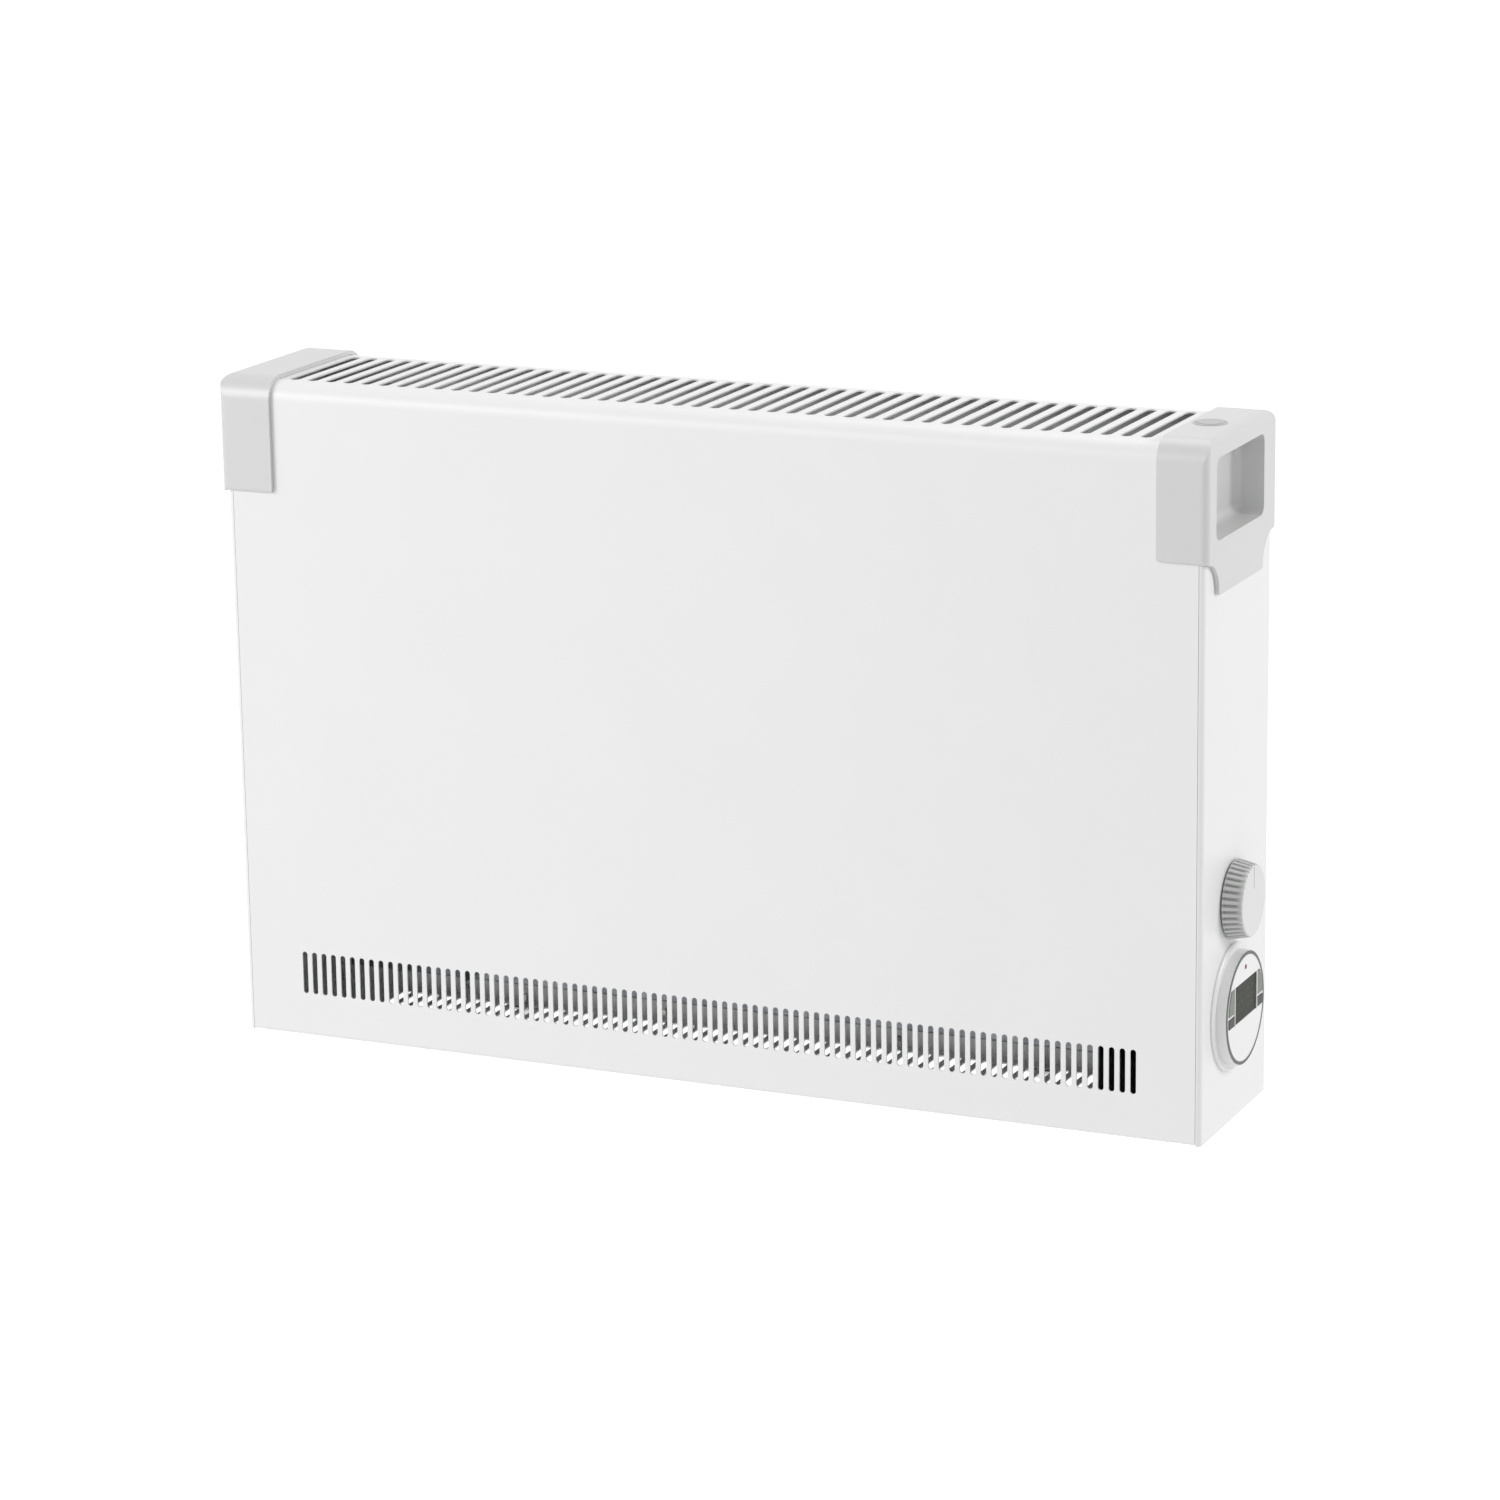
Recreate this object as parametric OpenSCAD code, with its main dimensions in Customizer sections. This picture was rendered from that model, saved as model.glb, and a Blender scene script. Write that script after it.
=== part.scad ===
// Wall panel convector heater.
// Millimetres. The wall is the plane y = 0, the heater's front faces -Y and +Z is up.
// The origin is the middle of the four wall screws, on the wall.

/* [Casing] */
// Width of the casing over its end panels
casing_w = 680; // [600:10:800]
// Height of the casing
casing_h = 446; // [436:1:480]
// Depth of the casing from front face to rear face
casing_d = 125; // [122:1:140]
// Gap between the casing and the wall
wall_gap = 18; // [14:1:30]
// Height of the wall screws' middle above the casing's underside
mount_rise = 250; // [230:5:270]
// Thickness of the casing's sheet steel
sheet_t = 1; // [0.8:0.1:1.3]
// Outer radius of the bend from the front into the top
top_bend_r = 12; // [9:1:12]
// Outer radius of the bend from the top into the back
back_bend_r = 17; // [10:1:18]
// Outer radius of the bend from the front into the underside
low_bend_r = 3; // [2:0.5:5]
// Outer radius of the upright front corners
side_bend_r = 3.5; // [3:0.5:5]
// Width of the lips folded in behind
back_lip = 12; // [10:1:15]
// Width of the tongue that tucks behind the front sheet
tuck_w = 9; // [6:1:14]
// How far the tucked tongue runs into the corner bend, as a share of its radius
joggle_share = 0.63; // [0.5:0.01:0.68]

/* [Outlet slots in the top] */
// Width of one outlet slot
outlet_slot_w = 6; // [4:0.5:7]
// Spacing of the outlet slots
outlet_pitch = 13.15; // [11:0.05:16]
// From the casing's side to the middle of the first outlet slot, at least
outlet_side_gap = 43.5; // [42:0.5:80]
// From the front face to the outlet slots
outlet_front_gap = 14; // [13:1:24]
// From the outlet slots to the rear face
outlet_back_gap = 22; // [20:1:30]

/* [Inlet slots in the front] */
// Width of one inlet slot
inlet_slot_w = 3.5; // [2.5:0.1:4.5]
// Height of the inlet slots
inlet_slot_h = 29; // [20:1:40]
// Spacing of the inlet slots
inlet_pitch = 7.2; // [6:0.1:10]
// From the casing's side to the middle of the first inlet slot, at least
inlet_side_gap = 42; // [30:1:80]
// From the underside to the inlet slots
inlet_rise = 29.8; // [26:0.1:36]

/* [Back panel] */
// Width of a pressed stiffening rib
rib_w = 14; // [10:1:20]
// Height of a pressed stiffening rib
rib_h = 2.5; // [2:0.5:4]
// Length of a pressed stiffening rib
rib_l = 300; // [200:10:330]
// Height of the lower pressed rib above the underside
rib_rise = 60; // [50:5:80]
// Spacing of the pressed ribs
rib_pitch = 90; // [70:5:90]

/* [Handle caps] */
// Width of the left cap's strip across the front, from the casing's side
left_strip_w = 34.5; // [30:0.5:36]
// Width of the right cap's strip across the front, from the casing's side
right_strip_w = 30.5; // [30:0.5:36]
// How far a cap stands out from the front, the side and the back
cap_proud = 3; // [2.5:0.5:4]
// How far a cap stands above the top
cap_crown = 3; // [3:0.5:5]
// Height of a cap's front and back strips below the casing's top
cap_drop = 74; // [72:1:84]
// Height of a cap's side tongue below the casing's top
tongue_drop = 96; // [96:1:108]
// From the front face to the tongue
tongue_front = 19; // [18:1:24]
// From the tongue to the rear face
tongue_back = 23; // [18:1:26]
// Radius where the tongue flares into the cap
tongue_flare_r = 20; // [10:1:20]
// Radius at the tongue's lower corners
tongue_r = 2; // [1:0.5:2]
// Radius of a cap's edge from the front into the top
cap_top_r = 15; // [12:1:15]
// Radius of a cap's edge from the top into the back
cap_back_r = 20; // [14:1:20]
// Radius of a cap's upright outer edges
cap_edge_r = 4.5; // [3:0.5:6]
// Radius of a cap's edge from the side into the top
cap_shoulder_r = 6; // [4:0.5:8]
// Radius at the lower inner corners of the strips
cap_strip_r = 3; // [2:0.5:5]

/* [Finger pockets] */
// From the front face to the pocket
pocket_front = 12.5; // [12:0.5:16]
// From the pocket to the rear face
pocket_back = 22; // [22:1:28]
// From the casing's top down to the pocket's roof
pocket_roof_drop = 10; // [8:0.5:12]
// Height of the pocket
pocket_h = 51.5; // [40:0.5:54]
// Depth of the pocket from the cap's side
pocket_d = 19.5; // [16:0.5:22]
// Radius of the pocket's corners and of its inner edges
pocket_r = 6; // [3:1:7]
// Wall of the pocket
pocket_wall = 2; // [1.5:0.1:2.2]

/* [Power button] */
// From the casing's side to the button's middle
button_in = 17.3; // [16.5:0.1:18]
// From the front face to the button's middle
button_back = 58.5; // [50:0.5:70]
// Radius of the button
button_r = 9; // [7:0.1:9.2]
// How far the button stands above the cap
button_proud = 0.8; // [0.6:0.1:1.5]
// Travel of the button
button_travel = 1.2; // [0.8:0.1:1.4]
// Radial wall of the collar's sleeve
collar_wall = 0.8; // [0.6:0.1:1]
// Width of the collar's rim over the cap
collar_rim = 0.8; // [0.5:0.1:0.9]
// Thickness of the collar's rim
collar_t = 0.3; // [0.3:0.1:0.5]
// Side of the switch under the button
switch_w = 12; // [8:1:13]
// Height of the switch under the button
switch_h = 5.4; // [4:0.2:5.4]
// Radius of the button's stem
stem_r = 1.5; // [1:0.1:2]

/* [Thermostat] */
// From the front face to the middle of the controls
control_back = 58.5; // [54:0.5:62]
// Height of the thermostat above the underside
knob_rise = 146.4; // [144:0.1:190]
// Radius of the knob at the panel
knob_r = 25.4; // [24:0.1:27]
// Radius of the knob's face
knob_face_r = 23; // [20:0.1:24]
// Height of the knob
knob_h = 12.8; // [12:0.1:18]
// Gap between the knob and the panel
knob_gap = 1.2; // [0.4:0.1:1.5]
// Rounding of the knob's face edge
knob_edge_r = 1.2; // [0.8:0.1:2]
// Number of grooves round the knob
knob_grooves = 36; // [24:1:40]
// Radius of one groove
groove_r = 1.2; // [0.8:0.1:1.4]
// Wall of the knob's skirt and face
knob_wall = 3; // [2.6:0.1:3.6]
// Radius of the knob's hub
hub_r = 5.5; // [5:0.5:7]
// Width of the pointer groove
pointer_w = 1.2; // [0.8:0.1:2]
// Length of the pointer groove
pointer_l = 14; // [8:1:18]
// Depth of the pointer groove
pointer_t = 0.5; // [0.3:0.1:0.8]
// Radius of the thermostat's shaft
shaft_r = 3; // [2.5:0.5:3.5]
// Length of the shaft outside the panel
shaft_out = 11; // [9.5:0.1:11]
// Radius of the thermostat's threaded bush
bush_r = 5; // [4.5:0.1:5.5]
// Length of the threaded bush outside the panel
bush_out = 5.8; // [4.5:0.1:6]
// Width of the bush's nut across its corners
nut_w = 16; // [14:1:18]
// Thickness of the bush's nut
nut_t = 2.6; // [2:0.1:3]
// Depth of the thermostat's body
stat_d = 24; // [18:1:30]
// Width of the thermostat's body
stat_w = 36; // [30:1:40]
// Height of the thermostat's body
stat_h = 32; // [26:1:36]
// Radius of the sensor bulb
bulb_r = 3.2; // [2.5:0.1:4]
// Length of the sensor bulb
bulb_l = 90; // [60:5:120]
// Radius of the capillary
capillary_r = 1.2; // [1:0.1:1.5]
// Height of the bulb above the underside
bulb_rise = 66; // [62:1:70]
// Distance of the bulb from the back panel
bulb_gap = 12; // [10:1:16]
// Width of a bulb clip
clip_w = 8; // [6:1:12]
// Thickness of a bulb clip
clip_t = 1; // [0.8:0.1:1.5]

/* [Timer] */
// Height of the timer above the underside
timer_rise = 75.7; // [70:0.1:78]
// Radius of the bezel's flange
bezel_r = 41.4; // [40:0.1:43]
// Thickness of the bezel's flange
bezel_t = 2.2; // [2:0.1:3]
// Outer radius of the bezel's drum
drum_r = 36.8; // [36:0.1:38]
// Wall of the bezel's drum
drum_wall = 1; // [1:0.1:1.2]
// Height of the timer's face above the panel
face_h = 9; // [8.4:0.1:10]
// Thickness of the timer's face
face_t = 2; // [1.6:0.1:2.1]
// Gap round the timer's face
face_gap = 1.4; // [0.5:0.1:1.6]
// Wall of the skirt under the face
skirt_wall = 1.2; // [1:0.1:1.4]
// Radius of the opening in the bezel's floor
bezel_bore_r = 28; // [26:0.5:29]
// Radius of the housing behind the panel
housing_r = 31; // [30.5:0.1:33]
// Depth of the housing behind the panel
housing_d = 24; // [18:1:30]
// Wall of the housing
housing_wall = 1.5; // [1.2:0.1:1.9]
// Thickness of the circuit board
board_t = 1.6; // [1.2:0.1:1.8]
// Width of the display window
lcd_w = 41.5; // [34:0.5:42]
// Height of the display window
lcd_h = 24.2; // [18:0.1:25]
// Height of the display's middle above the timer's middle
lcd_rise = 6; // [5:0.1:8]
// Distance of the side keys from the display
key_gap = 1.2; // [1:0.1:1.5]
// Height of the two upper keys
upper_key_h = 15.5; // [12:0.5:17]
// Height of the two lower keys
lower_key_h = 6; // [4:0.5:7]
// Gap between an upper and a lower key
key_split = 2; // [1.5:0.1:3]
// Height of the lower keys' bottom below the timer's middle
key_drop = 5.7; // [4:0.1:6]
// How far the keys stand out of the face
key_proud = 0.5; // [0.3:0.1:0.8]
// Travel of the keys
key_travel = 0.8; // [0.4:0.1:0.8]
// Thickness of a key
key_t = 3.1; // [2.6:0.1:3.1]
// Margin between the keys and the face's edge
key_margin = 1.8; // [1.8:0.1:4]
// Radius of the indicator lamp
lamp_r = 1.5; // [1:0.1:2]
// Height of the indicator lamp above the timer's middle
lamp_rise = 27; // [26:0.5:30]

/* [Heating elements] */
// Thickness of the inner sheets
inner_t = 0.8; // [0.6:0.1:1]
// From the casing's left side to the left support
support_in = 106; // [100:1:130]
// From the casing's right side to the control partition
partition_in = 73; // [66:1:76]
// Height of the left support
support_h = 190; // [182:1:210]
// Height of the control partition
partition_h = 360; // [300:5:370]
// Width of the supports' flanges
flange_w = 14; // [10:1:18]
// From the front face to the elements' middle
element_back = 58; // [54:1:60]
// Height of the lower element above the underside
element_rise = 105; // [95:1:115]
// Spacing of the two elements
element_pitch = 45; // [40:1:50]
// Radius of an element's sheath
sheath_r = 4; // [3.2:0.1:4.5]
// How far a sheath runs past its supports
sheath_out = 16; // [12:1:20]
// Width of a fin
fin_w = 46; // [36:1:50]
// Height of a fin
fin_h = 34; // [28:1:36]
// Thickness of a fin
fin_t = 0.6; // [0.4:0.1:0.8]
// Spacing of the fins
fin_pitch = 8; // [7:0.5:12]
// Corner radius of a fin
fin_r = 4; // [2:1:8]
// Clear length at each end of the row of fins
fin_end_gap = 9; // [8:1:20]
// Radius of a ceramic bush's collar
ceramic_r = 8; // [7:0.5:9]
// Radius of a ceramic bush's neck
ceramic_neck_r = 6.2; // [5.5:0.1:6.5]
// Thickness of a ceramic bush's collar
ceramic_t = 4; // [3:0.5:6]
// Radius of a terminal stud
stud_r = 2; // [1.5:0.1:2.5]
// Length of a terminal stud
stud_l = 11; // [9:1:14]
// Width of a terminal nut across its corners
stud_nut_w = 8; // [7:0.5:9]
// Thickness of a terminal nut
stud_nut_t = 3; // [2:0.5:4]

/* [Air guide and heat shield] */
// Height of the air guide's shelf above the underside
guide_rise = 28.5; // [24:0.5:29.5]
// Depth of the air guide behind the front face
guide_d = 26; // [24:1:34]
// Width of a slot in the air guide
guide_slot_w = 4.5; // [3:0.5:5]
// Spacing of the slots in the air guide
guide_pitch = 10.5; // [9:0.1:14]
// From the air guide's ends to the middle of its outer slots, at least
guide_end_gap = 12; // [8:0.5:20]
// From the front face to the slots in the air guide
guide_slot_front = 5; // [4:0.5:7]
// From the slots in the air guide to its rear edge
guide_slot_back = 3; // [2:0.5:6]
// Depth of the air guide's foot
guide_foot = 12; // [8:1:20]
// Gap from the front face to the heat shield
shield_gap = 12; // [10:1:16]
// Height of the heat shield's lower edge above the underside
shield_rise = 75; // [65:1:85]
// Height of the heat shield's upper edge above the underside
shield_top = 330; // [280:5:350]

/* [Thermal cut-out] */
// Height of the cut-out's bracket above the underside
cutout_rise = 200; // [195:1:220]
// Width of the cut-out's bracket
cutout_w = 24; // [20:1:30]
// Reach of the cut-out's bracket from the back panel
cutout_reach = 56; // [45:1:60]
// Height of the bracket's foot on the back panel
cutout_foot = 18; // [12:1:24]
// Radius of the cut-out's can
cutout_r = 8; // [6:0.5:10]
// Height of the cut-out's can
cutout_h = 7; // [5:1:10]
// Width of a flat terminal tab
tab_w = 6.3; // [4.8:0.1:6.3]
// Length of a flat terminal tab
tab_l = 8; // [6:1:10]
// Thickness of a flat terminal tab
tab_t = 0.8; // [0.5:0.1:1]

/* [Supply] */
// Length of the terminal block
block_l = 42; // [36:1:44]
// Width of the terminal block
block_w = 18; // [16:1:22]
// Height of the terminal block
block_h = 15; // [12:1:18]
// Distance of the terminal block from the back panel
block_back = 20; // [16:1:26]
// Radius of a terminal screw
block_screw_r = 2.2; // [1.8:0.1:2.4]
// Depth of the wells above the terminal screws
block_well = 3; // [2:0.5:4]
// Length of a terminal screw
block_screw_l = 6; // [4:0.5:8]
// From the casing's right side to the cord's way in
gland_in = 20; // [16:1:22]
// From the rear face to the cord's way in
gland_back = 62; // [58:1:66]
// Radius of the cord's way in
gland_bore_r = 4; // [3.5:0.1:4.5]
// Radius of the gland's neck
gland_neck_r = 7; // [6:0.1:8]
// Radius of the gland's collars
gland_r = 9.5; // [9:0.1:11]
// Height of the gland's lower collar
gland_low = 4; // [3:0.5:6]
// Height of the gland's upper collar
gland_up = 9; // [6:0.5:12]
// Radius of the earth stud
earth_r = 2; // [1.5:0.1:2.5]
// Length of the earth stud
earth_l = 12; // [10:1:16]
// Height of the earth stud above the underside
earth_rise = 34; // [30:1:40]
// Radius of an inner lead
lead_r = 1.4; // [1:0.1:1.6]

/* [Wall bracket] */
// Distance between the wall screws across
screw_span = 380; // [340:10:440]
// Distance between the wall screws up and down
screw_drop = 160; // [120:10:180]
// Radius of a wall screw's hole
screw_hole_r = 2.75; // [2.25:0.25:3.25]
// Thickness of the bracket
bracket_t = 1.5; // [1.2:0.1:1.8]
// Width of a bracket leg
leg_w = 36; // [32:1:44]
// Height of the folded edges of a leg
leg_fold = 7; // [5:1:9]
// Height of the hooks above the wall screws' middle
hook_rise = 112; // [105:1:120]
// Width of a hook
hook_w = 24; // [18:1:26]
// Height of a hook's lip
hook_lip = 9; // [7:1:12]
// Height of the crossbar
bar_h = 34; // [24:1:40]
// How far a lug reaches under the casing
lug_reach = 16; // [14:1:20]
// Radius of a locking screw
lock_r = 2; // [1.5:0.1:2.5]
// Radius of a locking screw's head
lock_head_r = 5; // [4:0.5:6]
// Height of a locking screw's head
lock_head_h = 4.5; // [3:0.5:6]
// Length of a locking screw's shank
lock_l = 9; // [7:1:12]

/* [Screws] */
// Radius of a sheet screw
screw_r = 1.7; // [1.4:0.1:2]
// Radius of a sheet screw's head
screw_head_r = 3.4; // [3:0.1:4]
// Height of a sheet screw's head
screw_head_h = 2; // [1.5:0.1:2.5]
// Length of a sheet screw's shank
screw_l = 8; // [7:1:10]

/* [Fits] */
// Seam between two sheets of the casing
seam = 0.3; // [0.2:0.1:0.4]
// Gap between pieces that sit on each other
seat = 0.2; // [0.1:0.05:0.25]
// Gap round a moving key or button
key_fit = 0.3; // [0.25:0.05:0.4]
// Running gap between a shaft and its bore
shaft_fit = 0.06; // [0.04:0.01:0.09]
// Overrun of every cut
cut_over = 1; // [0.5:0.1:1]

/* [Hidden] */
$fn = 64;

// Colours of the finishes
powder_white = "#f2f2f1";
cap_grey = "#d9dad9";
zinc = "#b9bdc0";

// Planes of the casing
x_side = casing_w / 2;
y_back = -wall_gap;
y_lip = y_back - sheet_t;
y_front = y_back - casing_d;
z_low = -mount_rise;
z_top = z_low + casing_h;
x_wrap = x_side - side_bend_r - seam;
x_ear = x_side - sheet_t - seam;
x_flange_mid = x_side - back_lip / 2;

// Inner stations
x_support = -x_side + support_in;
x_partition = x_side - partition_in;
y_element = y_front + element_back;
z_lower_element = z_low + element_rise;
z_upper_element = z_lower_element + element_pitch;
y_control = y_front + control_back;
z_knob = z_low + knob_rise;
z_timer = z_low + timer_rise;
y_bulb = y_lip - bulb_gap;
z_bulb = z_low + bulb_rise;

// Planes of the right-hand cap
x_cap_out = x_side + cap_proud;
y_cap_front = y_front - cap_proud;
y_cap_back = y_back + cap_proud;
z_cap_top = z_top + cap_crown;
z_strip = z_top - cap_drop;
z_tongue = z_top - tongue_drop;
x_pocket = x_cap_out - pocket_d;
y_pocket_front = y_front + pocket_front;
y_pocket_back = y_back - pocket_back;
z_pocket_roof = z_top - pocket_roof_drop;
z_pocket_floor = z_pocket_roof - pocket_h;
function x_cap_in(s) = x_side - (s < 0 ? left_strip_w : right_strip_w);

// Planes of the power button
x_button = x_side - button_in;
y_button = y_front + button_back;
z_switch = z_pocket_roof + pocket_wall + seat;

// Rows of slots
outlet_count = floor((casing_w - 2 * outlet_side_gap) / outlet_pitch) + 1;
inlet_count = floor((casing_w - 2 * inlet_side_gap) / inlet_pitch) + 1;

// Places of the sheet screws, as x and z
side_screw_shares = [0.14, 0.5];
row_screw_shares = [-0.7, -0.25, 0.25, 0.7];
z_lip = z_top - back_bend_r - back_lip;
casing_screw_places = concat(
    [for (k = row_screw_shares) [k * x_side, z_lip + back_lip / 2]],
    [for (k = row_screw_shares) [k * x_side, z_low + back_lip / 2]],
    [for (s = [-1, 1], k = side_screw_shares) [s * x_flange_mid, z_low + k * casing_h]]);
cap_screw_shares = [0.55, 0.85];
cap_screw_places = [for (s = [-1, 1], k = cap_screw_shares) [s * x_flange_mid, z_top - k * cap_drop]];

// Extrusions along each axis: the sketch holds y and z, x and z, or x and y
module along_x(x, len) {
    translate([x, 0, 0]) rotate([90, 0, 90]) linear_extrude(len) children();
}

module along_y(y, len) {
    translate([0, y + len, 0]) rotate([90, 0, 0]) linear_extrude(len) children();
}

module along_z(z, len) {
    translate([0, 0, z]) linear_extrude(len) children();
}

// Round bars along each axis
module bar_x(x, y, z, len, r) {
    translate([x, y, z]) rotate([0, 90, 0]) cylinder(h = len, r = r);
}

module bar_y(x, y, z, len, r) {
    translate([x, y, z]) rotate([-90, 0, 0]) cylinder(h = len, r = r);
}

module bar_z(x, y, z, len, r) {
    translate([x, y, z]) cylinder(h = len, r = r);
}

// Flat sketches
module patch(u0, v0, u1, v1) {
    translate([u0, v0]) square([u1 - u0, v1 - v0]);
}

module soft_patch(u0, v0, u1, v1, r) {
    patch(u0 + r, v0, u1 - r, v1);
    patch(u0, v0 + r, u1, v1 - r);
    for (u = [u0 + r, u1 - r], v = [v0 + r, v1 - r]) translate([u, v]) circle(r);
}

module upright_slot(u, v0, v1, r) {
    patch(u - r, v0 + r, u + r, v1 - r);
    for (v = [v0 + r, v1 - r]) translate([u, v]) circle(r);
}

module level_slot(u0, u1, v, r) {
    patch(u0 + r, v - r, u1 - r, v + r);
    for (u = [u0 + r, u1 - r]) translate([u, v]) circle(r);
}

// What a rounded corner takes away at u, v; su and sv point into the sheet
module corner(u, v, su, sv, r) {
    translate([u, v]) mirror([su < 0 ? 1 : 0, 0]) mirror([0, sv < 0 ? 1 : 0]) difference() {
        translate([-cut_over, -cut_over]) square(r + cut_over);
        translate([r, r]) circle(r);
    }
}

// What a hollow corner adds beside u, v; su and sv point away from the corner
module fillet(u, v, su, sv, r) {
    translate([u, v]) mirror([su < 0 ? 1 : 0, 0]) mirror([0, sv < 0 ? 1 : 0]) difference() {
        square(r);
        translate([r, r]) circle(r);
    }
}

module mirror_x(s) {
    mirror([s < 0 ? 1 : 0, 0, 0]) children();
}

// Points of a smooth curve and a round lead along it
function curve_point(a, b, c, d, k) =
    pow(1 - k, 3) * a + 3 * k * pow(1 - k, 2) * b + 3 * k * k * (1 - k) * c + pow(k, 3) * d;
function curve_points(a, b, c, d, steps) =
    [for (i = [0 : steps]) curve_point(a, b, c, d, i / steps)];
function unit(v) = v / norm(v);

module lead(points, r, up) {
    sides = 8;
    last = len(points) - 1;
    ring_points = [for (i = [0 : last])
        let (along = unit(points[min(i + 1, last)] - points[max(i - 1, 0)]),
             across = unit(cross(up, along)),
             over = cross(along, across))
        for (j = [0 : sides - 1])
            points[i] + r * (cos(360 * j / sides) * across + sin(360 * j / sides) * over)];
    walls = [for (i = [0 : last - 1], j = [0 : sides - 1])
        let (k = (j + 1) % sides)
        [i * sides + j, (i + 1) * sides + j, (i + 1) * sides + k, i * sides + k]];
    first_cap = [for (j = [0 : sides - 1]) j];
    last_cap = [for (j = [sides - 1 : -1 : 0]) last * sides + j];
    polyhedron(points = ring_points, faces = concat(walls, [first_cap, last_cap]));
}

// Casing

module casing_section() {
    difference() {
        patch(y_front, z_low, y_lip, z_top);
        corner(y_front, z_top, 1, -1, top_bend_r);
        corner(y_front, z_low, 1, 1, low_bend_r);
        corner(y_lip, z_top, -1, -1, back_bend_r);
        difference() {
            patch(y_front + sheet_t, z_low + sheet_t, y_lip - sheet_t, z_top - sheet_t);
            corner(y_front + sheet_t, z_top - sheet_t, 1, -1, top_bend_r - sheet_t);
            corner(y_front + sheet_t, z_low + sheet_t, 1, 1, low_bend_r - sheet_t);
            corner(y_lip - sheet_t, z_top - sheet_t, -1, -1, back_bend_r - sheet_t);
        }
        patch(y_lip - sheet_t - cut_over, z_low + back_lip, y_lip + cut_over, z_lip);
    }
}

module outlet_slots() {
    for (i = [0 : outlet_count - 1]) along_z(z_top - sheet_t - cut_over, sheet_t + 2 * cut_over)
        upright_slot((i - (outlet_count - 1) / 2) * outlet_pitch, y_front + outlet_front_gap,
            y_back - outlet_back_gap, outlet_slot_w / 2);
}

module inlet_slots() {
    for (i = [0 : inlet_count - 1]) along_y(y_front - cut_over, sheet_t + 2 * cut_over)
        upright_slot((i - (inlet_count - 1) / 2) * inlet_pitch, z_low + inlet_rise,
            z_low + inlet_rise + inlet_slot_h, inlet_slot_w / 2);
}

module switch_notch() {
    half = switch_w / 2 + cut_over;
    patch(x_button - half, y_button - half, x_button + half, y_button + half);
}

module front_casing() {
    color(powder_white) difference() {
        union() {
            along_x(-x_wrap, 2 * x_wrap) casing_section();
            for (s = [-1, 1]) mirror_x(s) {
                along_z(z_top - sheet_t, sheet_t)
                    patch(x_wrap - cut_over, y_front + top_bend_r, x_ear, y_lip - back_bend_r);
                along_z(z_low, sheet_t)
                    patch(x_wrap - cut_over, y_front + side_bend_r + seam, x_ear, y_lip);
            }
        }
        outlet_slots();
        inlet_slots();
        along_z(z_top - sheet_t - cut_over, sheet_t + 2 * cut_over) switch_notch();
        for (p = casing_screw_places)
            if (abs(p[0]) < x_wrap - back_lip)
                bar_y(p[0], y_lip - sheet_t - cut_over, p[1], sheet_t + 2 * cut_over, screw_r + seat);
        bar_z(x_side - gland_in, y_back - gland_back, z_low - cut_over,
            sheet_t + 2 * cut_over, gland_neck_r + seat);
        for (s = [-1, 1])
            bar_z(s * screw_span / 2, y_back - lug_reach / 2, z_low - cut_over,
                sheet_t + 2 * cut_over, lock_r + seat);
    }
}

module end_panel(s) {
    bend_h = casing_h - top_bend_r - seam;
    pocket_way = pocket_wall + cut_over;
    mirror_x(s) difference() {
        union() {
            along_x(x_side - sheet_t, sheet_t) difference() {
                patch(y_front + side_bend_r, z_low, y_lip, z_top);
                corner(y_front + side_bend_r, z_top, 1, -1, top_bend_r);
                corner(y_lip, z_top, -1, -1, back_bend_r);
            }
            along_z(z_low, bend_h) translate([x_side - side_bend_r, y_front + side_bend_r])
                intersection() {
                    difference() {
                        circle(side_bend_r);
                        circle(side_bend_r - sheet_t);
                    }
                    patch(0, -side_bend_r, side_bend_r, 0);
                }
            along_z(z_low + low_bend_r + seam, bend_h - low_bend_r - seam)
                patch(x_side - side_bend_r - tuck_w, y_front + sheet_t + seat,
                    x_side - side_bend_r + joggle_share * side_bend_r,
                    y_front + 2 * sheet_t + seat);
            along_y(y_lip - sheet_t, sheet_t)
                patch(x_side - back_lip, z_low + back_lip + seam, x_side, z_lip - seam);
        }
        along_x(x_side - sheet_t - cut_over, sheet_t + 2 * cut_over)
            soft_patch(y_pocket_front - pocket_way, z_pocket_floor - pocket_way,
                y_pocket_back + pocket_way, z_pocket_roof + pocket_way, pocket_r + pocket_way);
        for (p = concat(casing_screw_places, cap_screw_places))
            if (p[0] > x_side - back_lip)
                bar_y(p[0], y_lip - sheet_t - cut_over, p[1], sheet_t + 2 * cut_over, screw_r + seat);
    }
}

module left_end_panel() {
    color(powder_white) end_panel(-1);
}

module right_end_panel() {
    color(powder_white) difference() {
        end_panel(1);
        bar_x(x_side - sheet_t - cut_over, y_control, z_knob, sheet_t + 2 * cut_over, bush_r + seat);
        bar_x(x_side - sheet_t - cut_over, y_control, z_timer, sheet_t + 2 * cut_over,
            housing_r + seat);
    }
}

// Back panel with its pressed ribs and the ways in for the bracket's hooks

module rib_sketch(inset, z) {
    level_slot(-rib_l / 2 + inset, rib_l / 2 - inset, z, rib_w / 2 - inset);
}

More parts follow.
